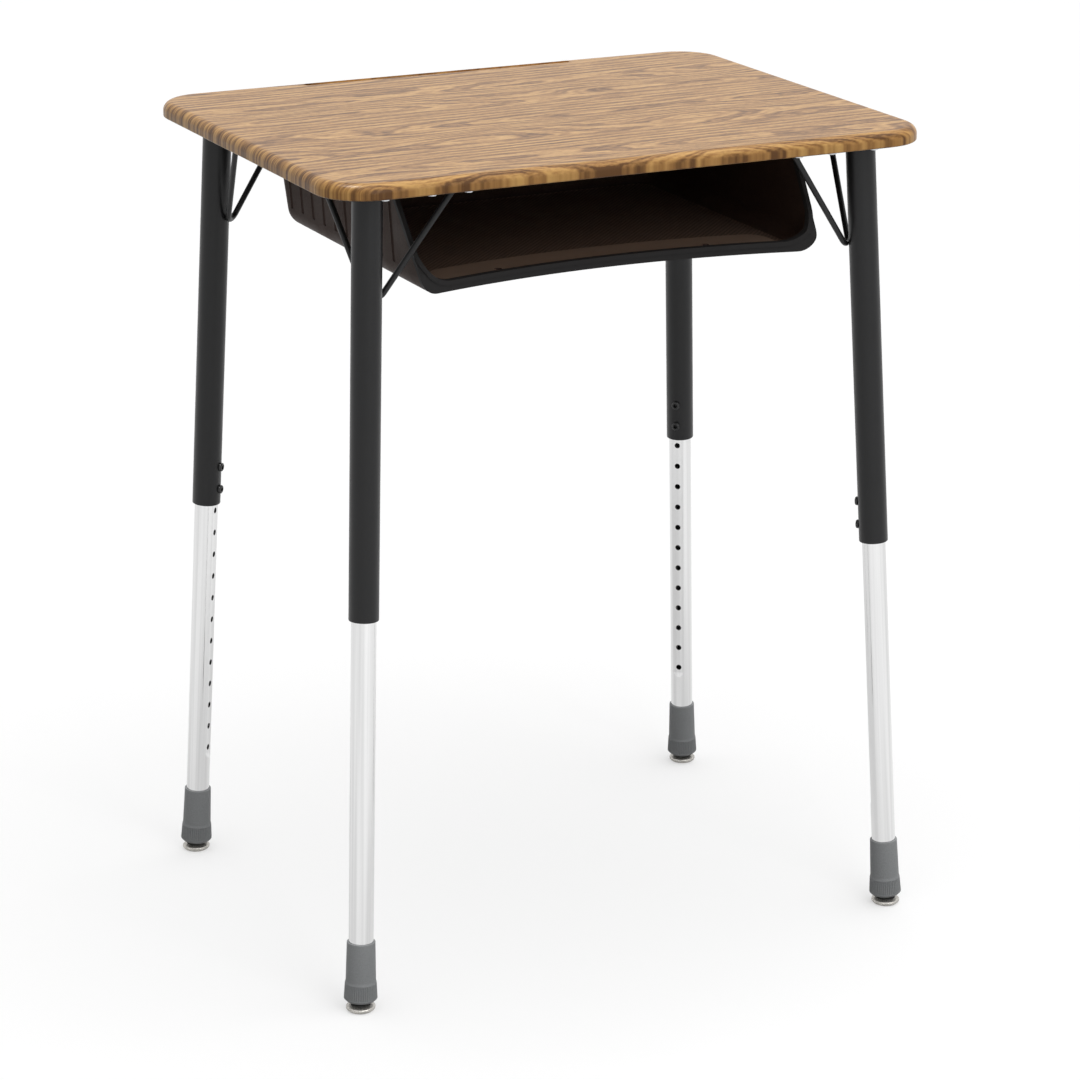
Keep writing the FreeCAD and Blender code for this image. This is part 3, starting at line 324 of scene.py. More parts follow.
def add_node(tree, kind, links=None, output=0, stops=(), **settings):
    """Add a node and give one of its outputs. Links are sockets or values for its inputs, stops are places
    and colours along a ramp, and settings are its own properties."""
    made = tree.nodes.new(kind)
    for key, value in settings.items():
        setattr(made, key, value)
    connect(tree, made, links or {})
    for number, (place, shade) in enumerate(stops):
        ramp = made.color_ramp.elements
        stop = ramp[number] if number < 2 else ramp.new(place)
        stop.position = place
        stop.color = (*shade, 1.0)
    return made.outputs[output]


def new_finish(name, shade, roughness, metallic=0.0, sheen=0.5):
    """Material with a Principled shader: gives the material, its tree, its shader and its Object
    coordinates."""
    material = bpy.data.materials.new(name)
    material.use_nodes = True
    tree = material.node_tree
    shader = tree.nodes["Principled BSDF"]
    connect(tree, shader, {
        "Base Color": (*shade, 1.0),
        "Roughness": roughness,
        "Metallic": metallic,
        "Specular IOR Level": sheen,
    })
    return material, tree, shader, add_node(tree, "ShaderNodeTexCoord", output="Object")


def vary(tree, shader, pattern, shade, dim, span, gloss):
    """Let a pattern drive a finish. Over a span of the pattern's values the colour runs from the dimmed
    shade to the full one, and over its middle values the roughness runs between two levels."""
    dimmed = tuple(dim * part for part in shade)
    tint = add_node(tree, "ShaderNodeValToRGB", {"Fac": pattern}, stops=zip(span, (dimmed, shade)))
    rough = add_node(tree, "ShaderNodeMapRange", {
        "Value": pattern, "From Min": 0.3, "From Max": 0.7, "To Min": gloss[0], "To Max": gloss[1]})
    connect(tree, shader, {"Base Color": tint, "Roughness": rough})


def repeats(along, across, up=1.0):
    """Repeats per metre along X, Y and Z of a pattern whose sizes are given in metres."""
    return 1.0 / along, 1.0 / across, 1.0 / up


def band_scale(pitch):
    """Scale of a wave texture, which repeats every tenth of pi, for bands at a pitch in metres."""
    return math.pi / 10 / pitch


def oak_laminate_pressed(scene):
    """Print of plain-sliced oak pressed over a rounded board. The print lies flat, so rows of pointed
    arches with straight grain between them run along the desk and drop straight down the edges. A satin
    top coat veils it at a low angle and glints on the corners."""
    sizes, colours = scene.desk_sizes, scene.desk_colours
    material, tree, shader, spot = new_finish(
        "oak_laminate_pressed", colours.wood_mid, roughness=0.3, sheen=0.15)
    flat = add_node(tree, "ShaderNodeMapping", {"Vector": spot, "Scale": FLATTEN})
    along = add_node(tree, "ShaderNodeSeparateXYZ", {"Vector": flat}, "X")
    across = add_node(tree, "ShaderNodeSeparateXYZ", {"Vector": flat}, "Y")
    # A drift of the growth rings, wiggles in them, light flakes, and the pores: dark dashes that are drawn
    # coarser than real ones, so that they show
    noises = []
    for size, detail in (
        (RING_DRIFT, 0.0),
        (RING_WIGGLE, 4.0),
        (WOOD_FLAKE, 2.0),
        ((PORE_LENGTH, sizes.pore_spacing), 2.0),
    ):
        spread = add_node(tree, "ShaderNodeMapping", {"Vector": flat, "Scale": repeats(*size)})
        noises.append(add_node(tree, "ShaderNodeTexNoise", {
            "Vector": spread, "Scale": 1.0, "Detail": detail}))
    drift, wiggle, flake, pore = noises
    # Growth rings: a cosine across the desk, flat at each row of arches and steep between two rows, and a
    # slow rise along the desk that draws the arches out to points
    phase = 0.2
    for part, share in ((drift, 1.4), (across, math.pi / sizes.arch_spacing)):
        phase = add_node(tree, "ShaderNodeMath", {0: part, 1: share, 2: phase}, operation="MULTIPLY_ADD")
    rows = add_node(tree, "ShaderNodeMath", {0: phase}, operation="COSINE")
    swell = sizes.arch_spacing / (math.pi * sizes.grain_spacing)
    rings = 0.0
    for part, share in ((drift, 4.0), (wiggle, 0.6), (rows, swell), (along, 1.0 / sizes.arch_length)):
        rings = add_node(tree, "ShaderNodeMath", {0: part, 1: share, 2: rings}, operation="MULTIPLY_ADD")
    # One wave per ring for the broad streaks and three for the fine lines inside them
    waves = []
    for count in (1, 3):
        angle = add_node(tree, "ShaderNodeMath", {0: rings, 1: 2 * math.pi * count}, operation="MULTIPLY")
        waves.append(add_node(tree, "ShaderNodeMath", {0: angle}, operation="SINE"))
    tone = 0.2
    for part, share in ((flake, 1.05), (pore, -0.7), (waves[0], 0.15), (waves[1], 0.12)):
        tone = add_node(tree, "ShaderNodeMath", {0: part, 1: share, 2: tone}, operation="MULTIPLY_ADD")
    tint = add_node(tree, "ShaderNodeValToRGB", {"Fac": tone}, stops=(
        (0.1, colours.wood_dark), (0.7, colours.wood_light), (0.4, colours.wood_mid)))
    rough = add_node(tree, "ShaderNodeMapRange", {"Value": tone, "To Min": 0.36, "To Max": 0.26})
    bump = add_node(tree, "ShaderNodeBump", {"Height": tone, "Strength": 0.25, "Distance": 0.0001})
    connect(tree, shader, {"Base Color": tint, "Roughness": rough, "Normal": bump})
    return material


def polypropylene_pebble_moulded(scene):
    """Brown-black plastic from a pebbled mould. The pebble breaks its sheen. The floor of the box carries
    a basket pattern that stops at the plain strip along the front. Painted light makes the floor and the
    strip lighter, and painted glints light the crests of the pattern. The bead round the mouth looks darker
    and cooler."""
    sizes, colours = scene.desk_sizes, scene.desk_colours
    material, tree, shader, spot = new_finish(
        "polypropylene_pebble_moulded", colours.plastic, roughness=0.52, sheen=0.08)
    pebble = add_node(tree, "ShaderNodeTexNoise", {
        "Vector": spot, "Scale": 1.0 / sizes.pebble_size, "Detail": 1.0})
    # The inner floor and the strip are picked out by their levels and by facing up
    height = add_node(tree, "ShaderNodeSeparateXYZ", {"Vector": spot}, "Z")
    normal = add_node(tree, "ShaderNodeNewGeometry", output="Normal")
    upward = add_node(tree, "ShaderNodeSeparateXYZ", {"Vector": normal}, "Z")
    upward = add_node(tree, "ShaderNodeMath", {0: upward, 1: 0.95}, operation="GREATER_THAN")
    masks = []
    margin = 0.2 * sizes.box_wall
    for rise in (sizes.box_wall, sizes.box_wall + sizes.box_strip):
        level = {0: height, 1: BOX_BOTTOM + rise, 2: margin}
        mask = add_node(tree, "ShaderNodeMath", level, operation="COMPARE")
        masks.append(add_node(tree, "ShaderNodeMath", {0: mask, 1: upward}, operation="MULTIPLY"))
    # The basket pattern is the product of two crossed bands
    weave = masks[0]
    for angle in (45, -45):
        turned = add_node(tree, "ShaderNodeMapping", {
            "Vector": spot, "Rotation": (0.0, 0.0, math.radians(angle))})
        bands = add_node(tree, "ShaderNodeTexWave", {
            "Vector": turned, "Scale": band_scale(sizes.weave_pitch)}, "Fac", bands_direction="X")
        weave = add_node(tree, "ShaderNodeMath", {0: bands, 1: weave}, operation="MULTIPLY")
    relief = add_node(tree, "ShaderNodeMath", {0: weave, 1: 4.0, 2: pebble}, operation="MULTIPLY_ADD")
    bump = add_node(tree, "ShaderNodeBump", {"Height": relief, "Strength": 0.5, "Distance": 0.0001})
    cloud = add_node(tree, "ShaderNodeTexNoise", {
        "Vector": spot, "Scale": 1.0 / PLASTIC_CLOUD, "Detail": 3.0})
    rough = add_node(tree, "ShaderNodeMapRange", {
        "Value": cloud, "From Min": 0.3, "From Max": 0.7, "To Min": 0.48, "To Max": 0.62})
    dimmed = tuple(0.72 * part for part in colours.plastic)
    tint = add_node(tree, "ShaderNodeValToRGB", {"Fac": pebble}, stops=(
        (0.35, dimmed), (0.6, colours.plastic)))
    # Painted light: lighter colour on the inner floor and most on the strip, and painted glints on the
    # weave's crests
    scuff = 0.0
    for part, share in ((weave, 0.6), (masks[0], 0.18), (masks[1], 0.9)):
        scuff = add_node(tree, "ShaderNodeMath", {0: part, 1: share, 2: scuff}, operation="MULTIPLY_ADD")
    # The bead follows the bow, an arc about a point in front of the desk, and the slanted sides of the
    # mouth: it goes back from their edge by its depth and ends over 2 mm
    radius = (sizes.box_half ** 2 + sizes.box_bow ** 2) / (2 * sizes.box_bow)
    middle = (0.0, sizes.box_bow - sizes.box_front - radius, 0.0)
    flat = add_node(tree, "ShaderNodeMapping", {"Vector": spot, "Scale": FLATTEN})
    bow = add_node(tree, "ShaderNodeVectorMath", {0: flat, 1: middle}, "Value", operation="DISTANCE")
    slope = (0.0, 1.0, -sizes.box_slant)
    slant = add_node(tree, "ShaderNodeVectorMath", {0: spot, 1: slope}, "Value", operation="DOT_PRODUCT")
    slant_edge = -sizes.box_front - sizes.box_slant * (BOX_BOTTOM + sizes.box_slant_rise)
    bead = 0.0
    for run, edge in ((bow, radius), (slant, slant_edge)):
        end = edge + sizes.box_bead
        near = add_node(tree, "ShaderNodeMapRange", {
            "Value": run, "From Min": end - 0.001, "From Max": end + 0.001, "To Min": 1.0, "To Max": 0.0})
        bead = add_node(tree, "ShaderNodeMath", {0: near, 1: bead}, operation="MAXIMUM")
    # The first mix lays on the painted light and glints, the second the bead's own darker colour
    for share, shade in ((scuff, colours.scuff), (bead, colours.rim)):
        tint = add_node(tree, "ShaderNodeMix", {
            MIX_FACTOR: share, MIX_FIRST: tint, MIX_SECOND: (*shade, 1.0)}, MIX_RESULT, data_type="RGBA")
    connect(tree, shader, {"Base Color": tint, "Roughness": rough, "Normal": bump})
    return material


def steel_powder_coated(scene):
    """Charcoal powder coat on steel tube. It flows to a slight orange peel, so its reflections are clear
    but waver a little."""
    shade = scene.desk_colours.paint
    material, tree, shader, spot = new_finish("steel_powder_coated", shade, roughness=0.36, sheen=0.3)
    peel = add_node(tree, "ShaderNodeTexNoise", {"Vector": spot, "Scale": 1.0 / PAINT_PEEL, "Detail": 1.0})
    bump = add_node(tree, "ShaderNodeBump", {"Height": peel, "Strength": 0.3, "Distance": 0.00004})
    connect(tree, shader, {"Normal": bump})
    cloud = add_node(tree, "ShaderNodeTexNoise", {
        "Vector": spot, "Scale": 1.0 / PAINT_CLOUD, "Detail": 3.0})
    vary(tree, shader, cloud, shade, dim=0.85, span=(0.35, 0.65), gloss=(0.32, 0.42))
    return material


def steel_chrome_plated(scene):
    """Bright chrome on drawn tube. It mirrors the white room. Soft lengthwise bands of dimmer colour are
    painted reflection bands, and the same bands vary its roughness."""
    shade = scene.desk_colours.chrome
    material, tree, shader, spot = new_finish("steel_chrome_plated", shade, roughness=0.12, metallic=1.0)
    # The four legs lean alike, so mirrored into one corner and sheared upright they share one pattern
    lean = np.abs(leg_axes("front_left")[1][2])
    shear = (lean[0] / lean[2], lean[1] / lean[2], 0.0)
    height = add_node(tree, "ShaderNodeSeparateXYZ", {"Vector": spot}, "Z")
    folded = add_node(tree, "ShaderNodeVectorMath", {0: spot}, operation="ABSOLUTE")
    upright = add_node(tree, "ShaderNodeVectorMath", {0: height, 1: shear, 2: folded},
                       operation="MULTIPLY_ADD")
    drawn = add_node(tree, "ShaderNodeMapping", {"Vector": upright, "Scale": repeats(*CHROME_BAND)})
    bands = add_node(tree, "ShaderNodeTexNoise", {"Vector": drawn, "Scale": 1.0, "Detail": 1.0})
    # Painted reflection: the bands dim the chrome's colour to stand in for bands in its reflections; they
    # also vary its roughness
    vary(tree, shader, bands, shade, dim=0.87, span=(0.32, 0.6), gloss=(0.08, 0.17))
    return material


def vinyl_moulded(scene):
    """Grey moulded vinyl. A fine matt grain gives it a soft speckle and no glints."""
    shade = scene.desk_colours.boot
    material, tree, shader, spot = new_finish("vinyl_moulded", shade, roughness=0.58, sheen=0.35)
    grain = add_node(tree, "ShaderNodeTexNoise", {
        "Vector": spot, "Scale": 1.0 / VINYL_GRAIN, "Detail": 1.0})
    bump = add_node(tree, "ShaderNodeBump", {"Height": grain, "Strength": 0.35, "Distance": 0.00006})
    connect(tree, shader, {"Normal": bump})
    vary(tree, shader, grain, shade, dim=0.82, span=(0.35, 0.65), gloss=(0.5, 0.66))
    return material


def steel_nickel_pressed(scene):
    """Nickel on a pressed steel cup, with faint rings round it. The press leaves a mottled relief, and
    small bright and dark patches painted into its colour are painted glitter."""
    shade = scene.desk_colours.nickel
    material, tree, shader, spot = new_finish("steel_nickel_pressed", shade, roughness=0.4, metallic=1.0)
    patch = add_node(tree, "ShaderNodeTexNoise", {
        "Vector": spot, "Scale": 1.0 / PRESS_PATCH, "Detail": 2.0})
    # Painted glitter: the same patches darken the colour in spots, standing in for small bright and dark
    # reflections
    dimmed = tuple(0.45 * part for part in shade)
    tint = add_node(tree, "ShaderNodeValToRGB", {"Fac": patch}, stops=((0.38, dimmed), (0.6, shade)))
    bump = add_node(tree, "ShaderNodeBump", {"Height": patch, "Strength": 0.5, "Distance": 0.0003})
    # The rings follow the cup's outline, which is the second way of its UV map
    around = add_node(tree, "ShaderNodeUVMap", uv_map="UVMap")
    rings = add_node(tree, "ShaderNodeTexWave", {
        "Vector": around, "Scale": band_scale(PRESS_RING), "Distortion": 1.0}, "Fac", bands_direction="Y")
    rough = add_node(tree, "ShaderNodeMapRange", {"Value": rings, "To Min": 0.32, "To Max": 0.48})
    connect(tree, shader, {"Base Color": tint, "Roughness": rough, "Normal": bump})
    return material


def speckled(name, shade, roughness, metallic, grain):
    """Finish with a fine grain, whose size is given in metres, that drives its tone, gloss and relief."""
    material, tree, shader, spot = new_finish(name, shade, roughness, metallic)
    speck = add_node(tree, "ShaderNodeTexNoise", {"Vector": spot, "Scale": 1.0 / grain, "Detail": 2.0})
    bump = add_node(tree, "ShaderNodeBump", {"Height": speck, "Strength": 0.2, "Distance": 0.05 * grain})
    connect(tree, shader, {"Normal": bump})
    gloss = (0.8 * roughness, 1.2 * roughness)
    vary(tree, shader, speck, shade, dim=0.75, span=(0.35, 0.65), gloss=gloss)
    return material


def steel_zinc_plated(scene):
    """Zinc passivate on steel: pale metal with a slightly cloudy shine."""
    return speckled("steel_zinc_plated", scene.desk_colours.zinc, 0.28, metallic=1.0, grain=0.003)


def steel_black_oxide(scene):
    """Black oxide: a thin dark skin on steel, dull with a faint gleam on edges."""
    return speckled("steel_black_oxide", scene.desk_colours.oxide, 0.36, metallic=0.0, grain=0.0012)


def neoprene_moulded(scene):
    """Neoprene: dull moulded rubber."""
    return speckled("neoprene_moulded", scene.desk_colours.rubber, 0.7, metallic=0.0, grain=0.0008)


def nylon_moulded(scene):
    """Nylon: waxy and slightly uneven."""
    return speckled("nylon_moulded", scene.desk_colours.nylon, 0.45, metallic=0.0, grain=0.004)


def finish(maker):
    """The material that one of the functions above makes, made when it is first asked for."""
    return bpy.data.materials.get(maker.__name__) or maker(bpy.context.scene)


# Surfaces

def dress(node, maker):
    """Give a CAD node that stays as it is one of the finishes."""
    frame["nodes"][node].material_slots[0].material = finish(maker)


def corner_steps(rows, columns, close_rows, close_columns):
    """Row and column numbers of the four corners of every quad between neighbouring points of a grid."""
    row_numbers = np.arange(rows - 1 + close_rows)
    column_numbers = np.arange(columns - 1 + close_columns)
    row, column = np.meshgrid(row_numbers, column_numbers, indexing="ij")
    row_steps = np.stack([row, row, row + 1, row + 1], -1).reshape(-1, 4)
    column_steps = np.stack([column, column + 1, column + 1, column], -1).reshape(-1, 4)
    return row_steps, column_steps


def run_length(grid, axis):
    """Distance walked along a grid's rows or columns, closing step included, as the mean over the other
    way."""
    closed = np.concatenate([grid, np.take(grid, [0], axis)], axis)
    steps = np.linalg.norm(np.diff(closed, axis=axis), axis=2).mean(1 - axis)
    return np.concatenate([[0.0], np.cumsum(steps)])


def build_piece(name, grids, maker, body, node):
    """Mesh of one or more grids of points, each with whether its rows and its columns close on themselves.
    Neighbouring points make quads, the UV map holds the walked lengths in metres, points that fall together
    are merged, and sharp edges stay sharp. The piece rides on a body and stands for a CAD node."""
    points, quads, unwrapped, count = [], [], [], 0
    for grid, close_rows, close_columns in grids:
        rows, columns = grid.shape[:2]
        row_steps, column_steps = corner_steps(rows, columns, close_rows, close_columns)
        across, along = run_length(grid, 1)[column_steps], run_length(grid, 0)[row_steps]
        points.append(grid.reshape(-1, 3))
        quads.append(count + (row_steps % rows) * columns + column_steps % columns)
        unwrapped.append(np.stack([across, along], -1))
        count += rows * columns
    points, quads, unwrapped = np.concatenate(points), np.concatenate(quads), np.concatenate(unwrapped)
    mesh = bpy.data.meshes.new(name)
    mesh.vertices.add(len(points))
    mesh.vertices.foreach_set("co", points.astype(np.float32).ravel())
    mesh.loops.add(quads.size)
    mesh.loops.foreach_set("vertex_index", quads.astype(np.int32).ravel())
    mesh.polygons.add(len(quads))
    mesh.polygons.foreach_set("loop_start", np.arange(0, quads.size, 4, dtype=np.int32))
    mesh.uv_layers.new(name="UVMap").data.foreach_set("uv", unwrapped.astype(np.float32).ravel())
    mesh.update(calc_edges=True)
    joined = bmesh.new()
    joined.from_mesh(mesh)
    bmesh.ops.remove_doubles(joined, verts=joined.verts, dist=MERGE_DISTANCE)
    joined.to_mesh(mesh)
    joined.free()
    mesh.shade_smooth()
    mesh.set_sharp_from_angle(angle=SHARP_ANGLE)
    mesh.materials.append(finish(maker))
    piece = bpy.data.objects.new(name, mesh)
    bpy.context.scene.collection.objects.link(piece)
    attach(piece, body)
    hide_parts(node)


def soften(corners, steps=5):
    """Outline through corners (x, y, reach): each corner becomes a parabola that starts and ends its reach
    away from the corner, which is its control point."""
    corners = np.array(corners, float)
    spot, reach = corners[:, :2], corners[:, 2:]

    def towards(other):
        run = other - spot
        size = np.linalg.norm(run, axis=1, keepdims=True)
        return spot + run * reach / np.maximum(size, 1e-9)

    start = towards(np.roll(spot, 1, 0))[:, None]
    end = towards(np.roll(spot, -1, 0))[:, None]
    share = np.linspace(0, 1, steps)[None, :, None]
    curve = (1 - share) ** 2 * start + 2 * share * (1 - share) * spot[:, None] + share ** 2 * end
    return curve.reshape(-1, 2)


def round_angles(columns):
    """Angles of evenly spaced columns round a full turn."""
    return np.arange(columns) * 2 * np.pi / columns


def turn(radius, height, columns):
    """Surface of revolution: radius and height, per row or per row and column, carried round the Z axis."""
    radius, height, angle = np.broadcast_arrays(radius, height, round_angles(columns))
    return np.stack([radius * np.cos(angle), radius * np.sin(angle), height], -1)


def fade(value, start, end):
    """Straight run from 0 at the start to 1 at the end, level outside them."""
    return np.clip((value - start) / (end - start), 0, 1)


def leg_axes(corner):
    """Foot of a leg on the floor, and its inward, crosswise and upward directions, from its two joints."""
    slide, swivel = JOINTS[corner + "_height_slide"], JOINTS[corner + "_glide_swivel"]
    up = np.array(slide["axis"], float)
    up /= np.linalg.norm(up)
    across = np.array(swivel["axis"], float)
    across /= np.linalg.norm(across)
    ball = np.array(swivel["pos_m"], float)
    return ball - up * ball[2] / up[2], np.stack([np.cross(across, up), across, up])


def screw_axes(node):
    """Places of a node's screws in the desk's plan, read from the points of their tips."""
    mesh = frame["nodes"][node].data
    spots = np.zeros(3 * len(mesh.vertices), np.float32)
    mesh.vertices.foreach_get("co", spots)
    spots = spots.reshape(-1, 3)
    tips = spots[spots[:, 2] > spots[:, 2].max() - 1e-5, :2]
    return np.unique(np.round(tips, 4), axis=0)


# Pieces

class DESK_OT_top(bpy.types.Operator):
    """Dress the top in its wood-grain laminate"""
    bl_idname = "desk.top"
    bl_label = "Top"

    def execute(self, context):
        dress("desk_top", oak_laminate_pressed)
        return {"FINISHED"}


class DESK_OT_book_box(bpy.types.Operator):
    """Dress the book box in its moulded plastic"""
    bl_idname = "desk.book_box"
    bl_label = "Book box"

    def execute(self, context):
        dress("book_box", polypropylene_pebble_moulded)
        return {"FINISHED"}


class DESK_OT_upper_legs(bpy.types.Operator):
    """Build the four black tubes with a rounded lip and a weld under the plate"""
    bl_idname = "desk.upper_legs"
    bl_label = "Upper legs"

    def execute(self, context):
        sizes = context.scene.desk_sizes
        bottom = sizes.upper_foot
        for corner in CORNERS:
            foot, axes = leg_axes(corner)
            top = PLATE_BOTTOM / axes[2, 2]
            # The outline of the wall, with its lip and its weld, is turned round the leg's line
            outline = soften((
                (sizes.upper_bore, bottom, 0.6 * sizes.lip_round),
                (sizes.upper_radius, bottom, sizes.lip_round),
                (sizes.upper_radius, top - sizes.weld_leg, 0.9 * sizes.weld_leg),
                (sizes.upper_radius + sizes.weld_leg, top, 0.0),
                (sizes.upper_bore, top, 0.0),
            ))
            radius, height = outline[:, :1], outline[:, 1:]
            tube = turn(radius, height, TUBE_POINTS)
            # Each column is stretched so that its upper end meets the level plate
            end = (PLATE_BOTTOM - tube[..., :2] @ axes[:2, 2]) / axes[2, 2]
            tube[..., 2] = bottom + (height - bottom) * (end - bottom) / (top - bottom)
            build_piece(corner + "_upper_tube", [(foot + tube @ axes, True, True)],
                        steel_powder_coated, "desk", corner + "_upper_leg")
        return {"FINISHED"}


class DESK_OT_braces(bpy.types.Operator):
    """Bend the four brace rods to their V"""
    bl_idname = "desk.braces"
    bl_label = "Braces"

    def execute(self, context):
        sizes = context.scene.desk_sizes
        angle = round_angles(ROD_POINTS)[:, None]
        swing = math.atan2(sizes.rod_swing, sizes.rod_drop)
        # In the plane of the V, each arm runs from its far end to where it touches the circle of the bend
        far = np.array([sizes.rod_span, math.hypot(sizes.rod_drop, sizes.rod_swing)])
        away = far - (0.0, sizes.rod_bend)
        last = math.atan2(away[1], away[0]) - math.acos(sizes.rod_bend / np.linalg.norm(away))
        bend = np.linspace(-math.pi - last, last, BEND_POINTS)
        # The path goes down one arm, round the bend and up the other arm
        arc = np.stack([np.cos(bend), 1 + np.sin(bend)], -1) * sizes.rod_bend
        path = np.concatenate([far[None] * (-1, 1), arc, far[None]])
        heading = np.stack([-np.sin(bend), np.cos(bend)], -1)
        heading = np.concatenate([heading[:1], heading, heading[-1:]])
        sideways = np.stack([-heading[:, 1], heading[:, 0]], -1)
        for corner in CORNERS:
            foot, axes = leg_axes(corner)
            spread = axes[1]
            climb = math.cos(swing) * axes[2] + math.sin(swing) * axes[0]
            plane = np.stack([spread, climb])
            rise = PLATE_BOTTOM / axes[2, 2] - sizes.rod_drop
            start = foot + axes[0] * sizes.rod_reach + axes[2] * rise
            centre = start + path @ plane
            along = heading @ plane
            side = sideways @ plane
            # A circle square to the path is carried along it
            ring = np.cos(angle) * side[:, None] + np.sin(angle) * np.cross(spread, climb)
            rod = centre[:, None] + sizes.rod_radius * ring
            # Both ends are carried on along the arm to the level underside of the plate, and closed there
            ends, arms = rod[[0, -1]], along[[0, -1]][:, None]
            ends = ends + arms * (PLATE_BOTTOM - ends[..., 2:]) / arms[..., 2:]
            middle = np.repeat(ends.mean(1, keepdims=True), ROD_POINTS, 1)
            rod = np.concatenate([middle[:1], ends[:1], rod[1:-1], ends[1:], middle[1:]])
            build_piece(corner + "_brace_rod", [(rod, False, True)],
                        steel_powder_coated, "desk", corner + "_brace")
        return {"FINISHED"}


class DESK_OT_lower_legs(bpy.types.Operator):
    """Dress the four sliding tubes in chrome"""
    bl_idname = "desk.lower_legs"
    bl_label = "Lower legs"

    def execute(self, context):
        for corner in CORNERS:
            dress(corner + "_lower_leg", steel_chrome_plated)
        return {"FINISHED"}


class DESK_OT_boots(bpy.types.Operator):
    """Mould the four boots with their grip flutes"""
    bl_idname = "desk.boots"
    bl_label = "Boots"

    def execute(self, context):
        sizes = context.scene.desk_sizes
        # The outline goes from the toe up the tapered band and the sleeve, and down the bore
        rise = np.linspace(*BAND_HEIGHTS, BAND_ROWS)
        narrowing = BAND_RADIUS - (rise - BAND_HEIGHTS[0]) / BAND_TAPER
        band = np.stack([narrowing, rise, np.full(BAND_ROWS, BAND_ROUND)], -1)
        outline = MILLIMETRE * soften(np.concatenate([BOOT_TOE, band, BOOT_SLEEVE]), BOOT_STEPS)
        radius, height = outline[:, :1], outline[:, 1:]
        # Flutes: a half wave round the band, faded in above the toe and out below the shoulder
        columns = FLUTE_POINTS * sizes.boot_flutes
        groove = np.clip(np.cos(sizes.boot_flutes * round_angles(columns)), 0, 1)
        shown = fade(height, *FLUTES_IN) * fade(height, *FLUTES_OUT) * (radius > OUTER_WALL)
        fluted = radius - sizes.boot_flute_depth * shown * groove
        boot = turn(fluted, sizes.boot_gap + height, columns)
        for corner in CORNERS:
            foot, axes = leg_axes(corner)
            build_piece(corner + "_boot_shell", [(foot + boot @ axes, True, True)],
                        vinyl_moulded, corner + "_leg", corner + "_boot")
        return {"FINISHED"}


class DESK_OT_glides(bpy.types.Operator):
    """Press the four glide cups and mould their cushions"""
    bl_idname = "desk.glides"
    bl_label = "Glides"

    def execute(self, context):
        outline = MILLIMETRE * soften(CUP)
        cup = turn(outline[:, :1], outline[:, 1:], GLIDE_POINTS)
        # The cushion's outline ends in the socket: an arc from its mouth to its lowest point
        polar = np.linspace(math.acos(SOCKET_MOUTH / SOCKET_RADIUS), math.pi, SOCKET_ROWS)
        socket = SOCKET_RADIUS * np.stack([np.sin(polar), np.cos(polar)], -1) + (0.0, SOCKET_HEIGHT)
        mouth = (*socket[0], 0.0)
        outline = MILLIMETRE * np.concatenate([soften((*CUSHION, mouth)), socket])
        cushion = turn(outline[:, :1], outline[:, 1:], GLIDE_POINTS)
        for corner in CORNERS:
            spot = np.array(JOINTS[corner + "_glide_swivel"]["pos_m"]) * (1, 1, 0)
            body = corner + "_glide"
            build_piece(corner + "_glide_cup", [(spot + cup, False, True)],
                        steel_nickel_pressed, body, corner + "_glide_base")
            build_piece(corner + "_glide_disc", [(spot + cushion, False, True)],
                        neoprene_moulded, body, corner + "_glide_cushion")
        return {"FINISHED"}


class DESK_OT_height_screws(bpy.types.Operator):
    """Turn the button-head screws that pin the lower legs"""
    bl_idname = "desk.height_screws"
    bl_label = "Height screws"

    def execute(self, context):
        sizes = context.scene.desk_sizes
        outline = MILLIMETRE * soften(BUTTON_SCREW, SCREW_STEPS)
        # Hexagon socket: the distance to a flat repeats every sixth of a turn
        angle = round_angles(BUTTON_SCREW_POINTS)
        hexagon = HEXAGON_HALF / np.cos((angle + np.pi / 6) % (np.pi / 3) - np.pi / 6)
        share, level = np.hsplit(np.array(HEXAGON_ROWS), 2)
        radius = np.concatenate([outline[:, :1] * np.ones_like(angle), share * hexagon])
        height = np.concatenate([outline[:, 1:], MILLIMETRE * level])
        # The screw lies along the leg's inward direction, its head outside the tube
        screw = turn(radius, height, BUTTON_SCREW_POINTS)[..., [2, 0, 1]]
        first = sizes.upper_foot + sizes.height_screw_rise
        seats = np.array([(sizes.upper_radius, 0.0, first + step) for step in (0.0, sizes.hole_pitch)])
        for corner in CORNERS:
            foot, axes = leg_axes(corner)
            grids = [(foot + (screw + seat) @ axes, False, True) for seat in seats]
            build_piece(corner + "_button_screws", grids,
                        steel_black_oxide, "desk", corner + "_height_screws")
        return {"FINISHED"}


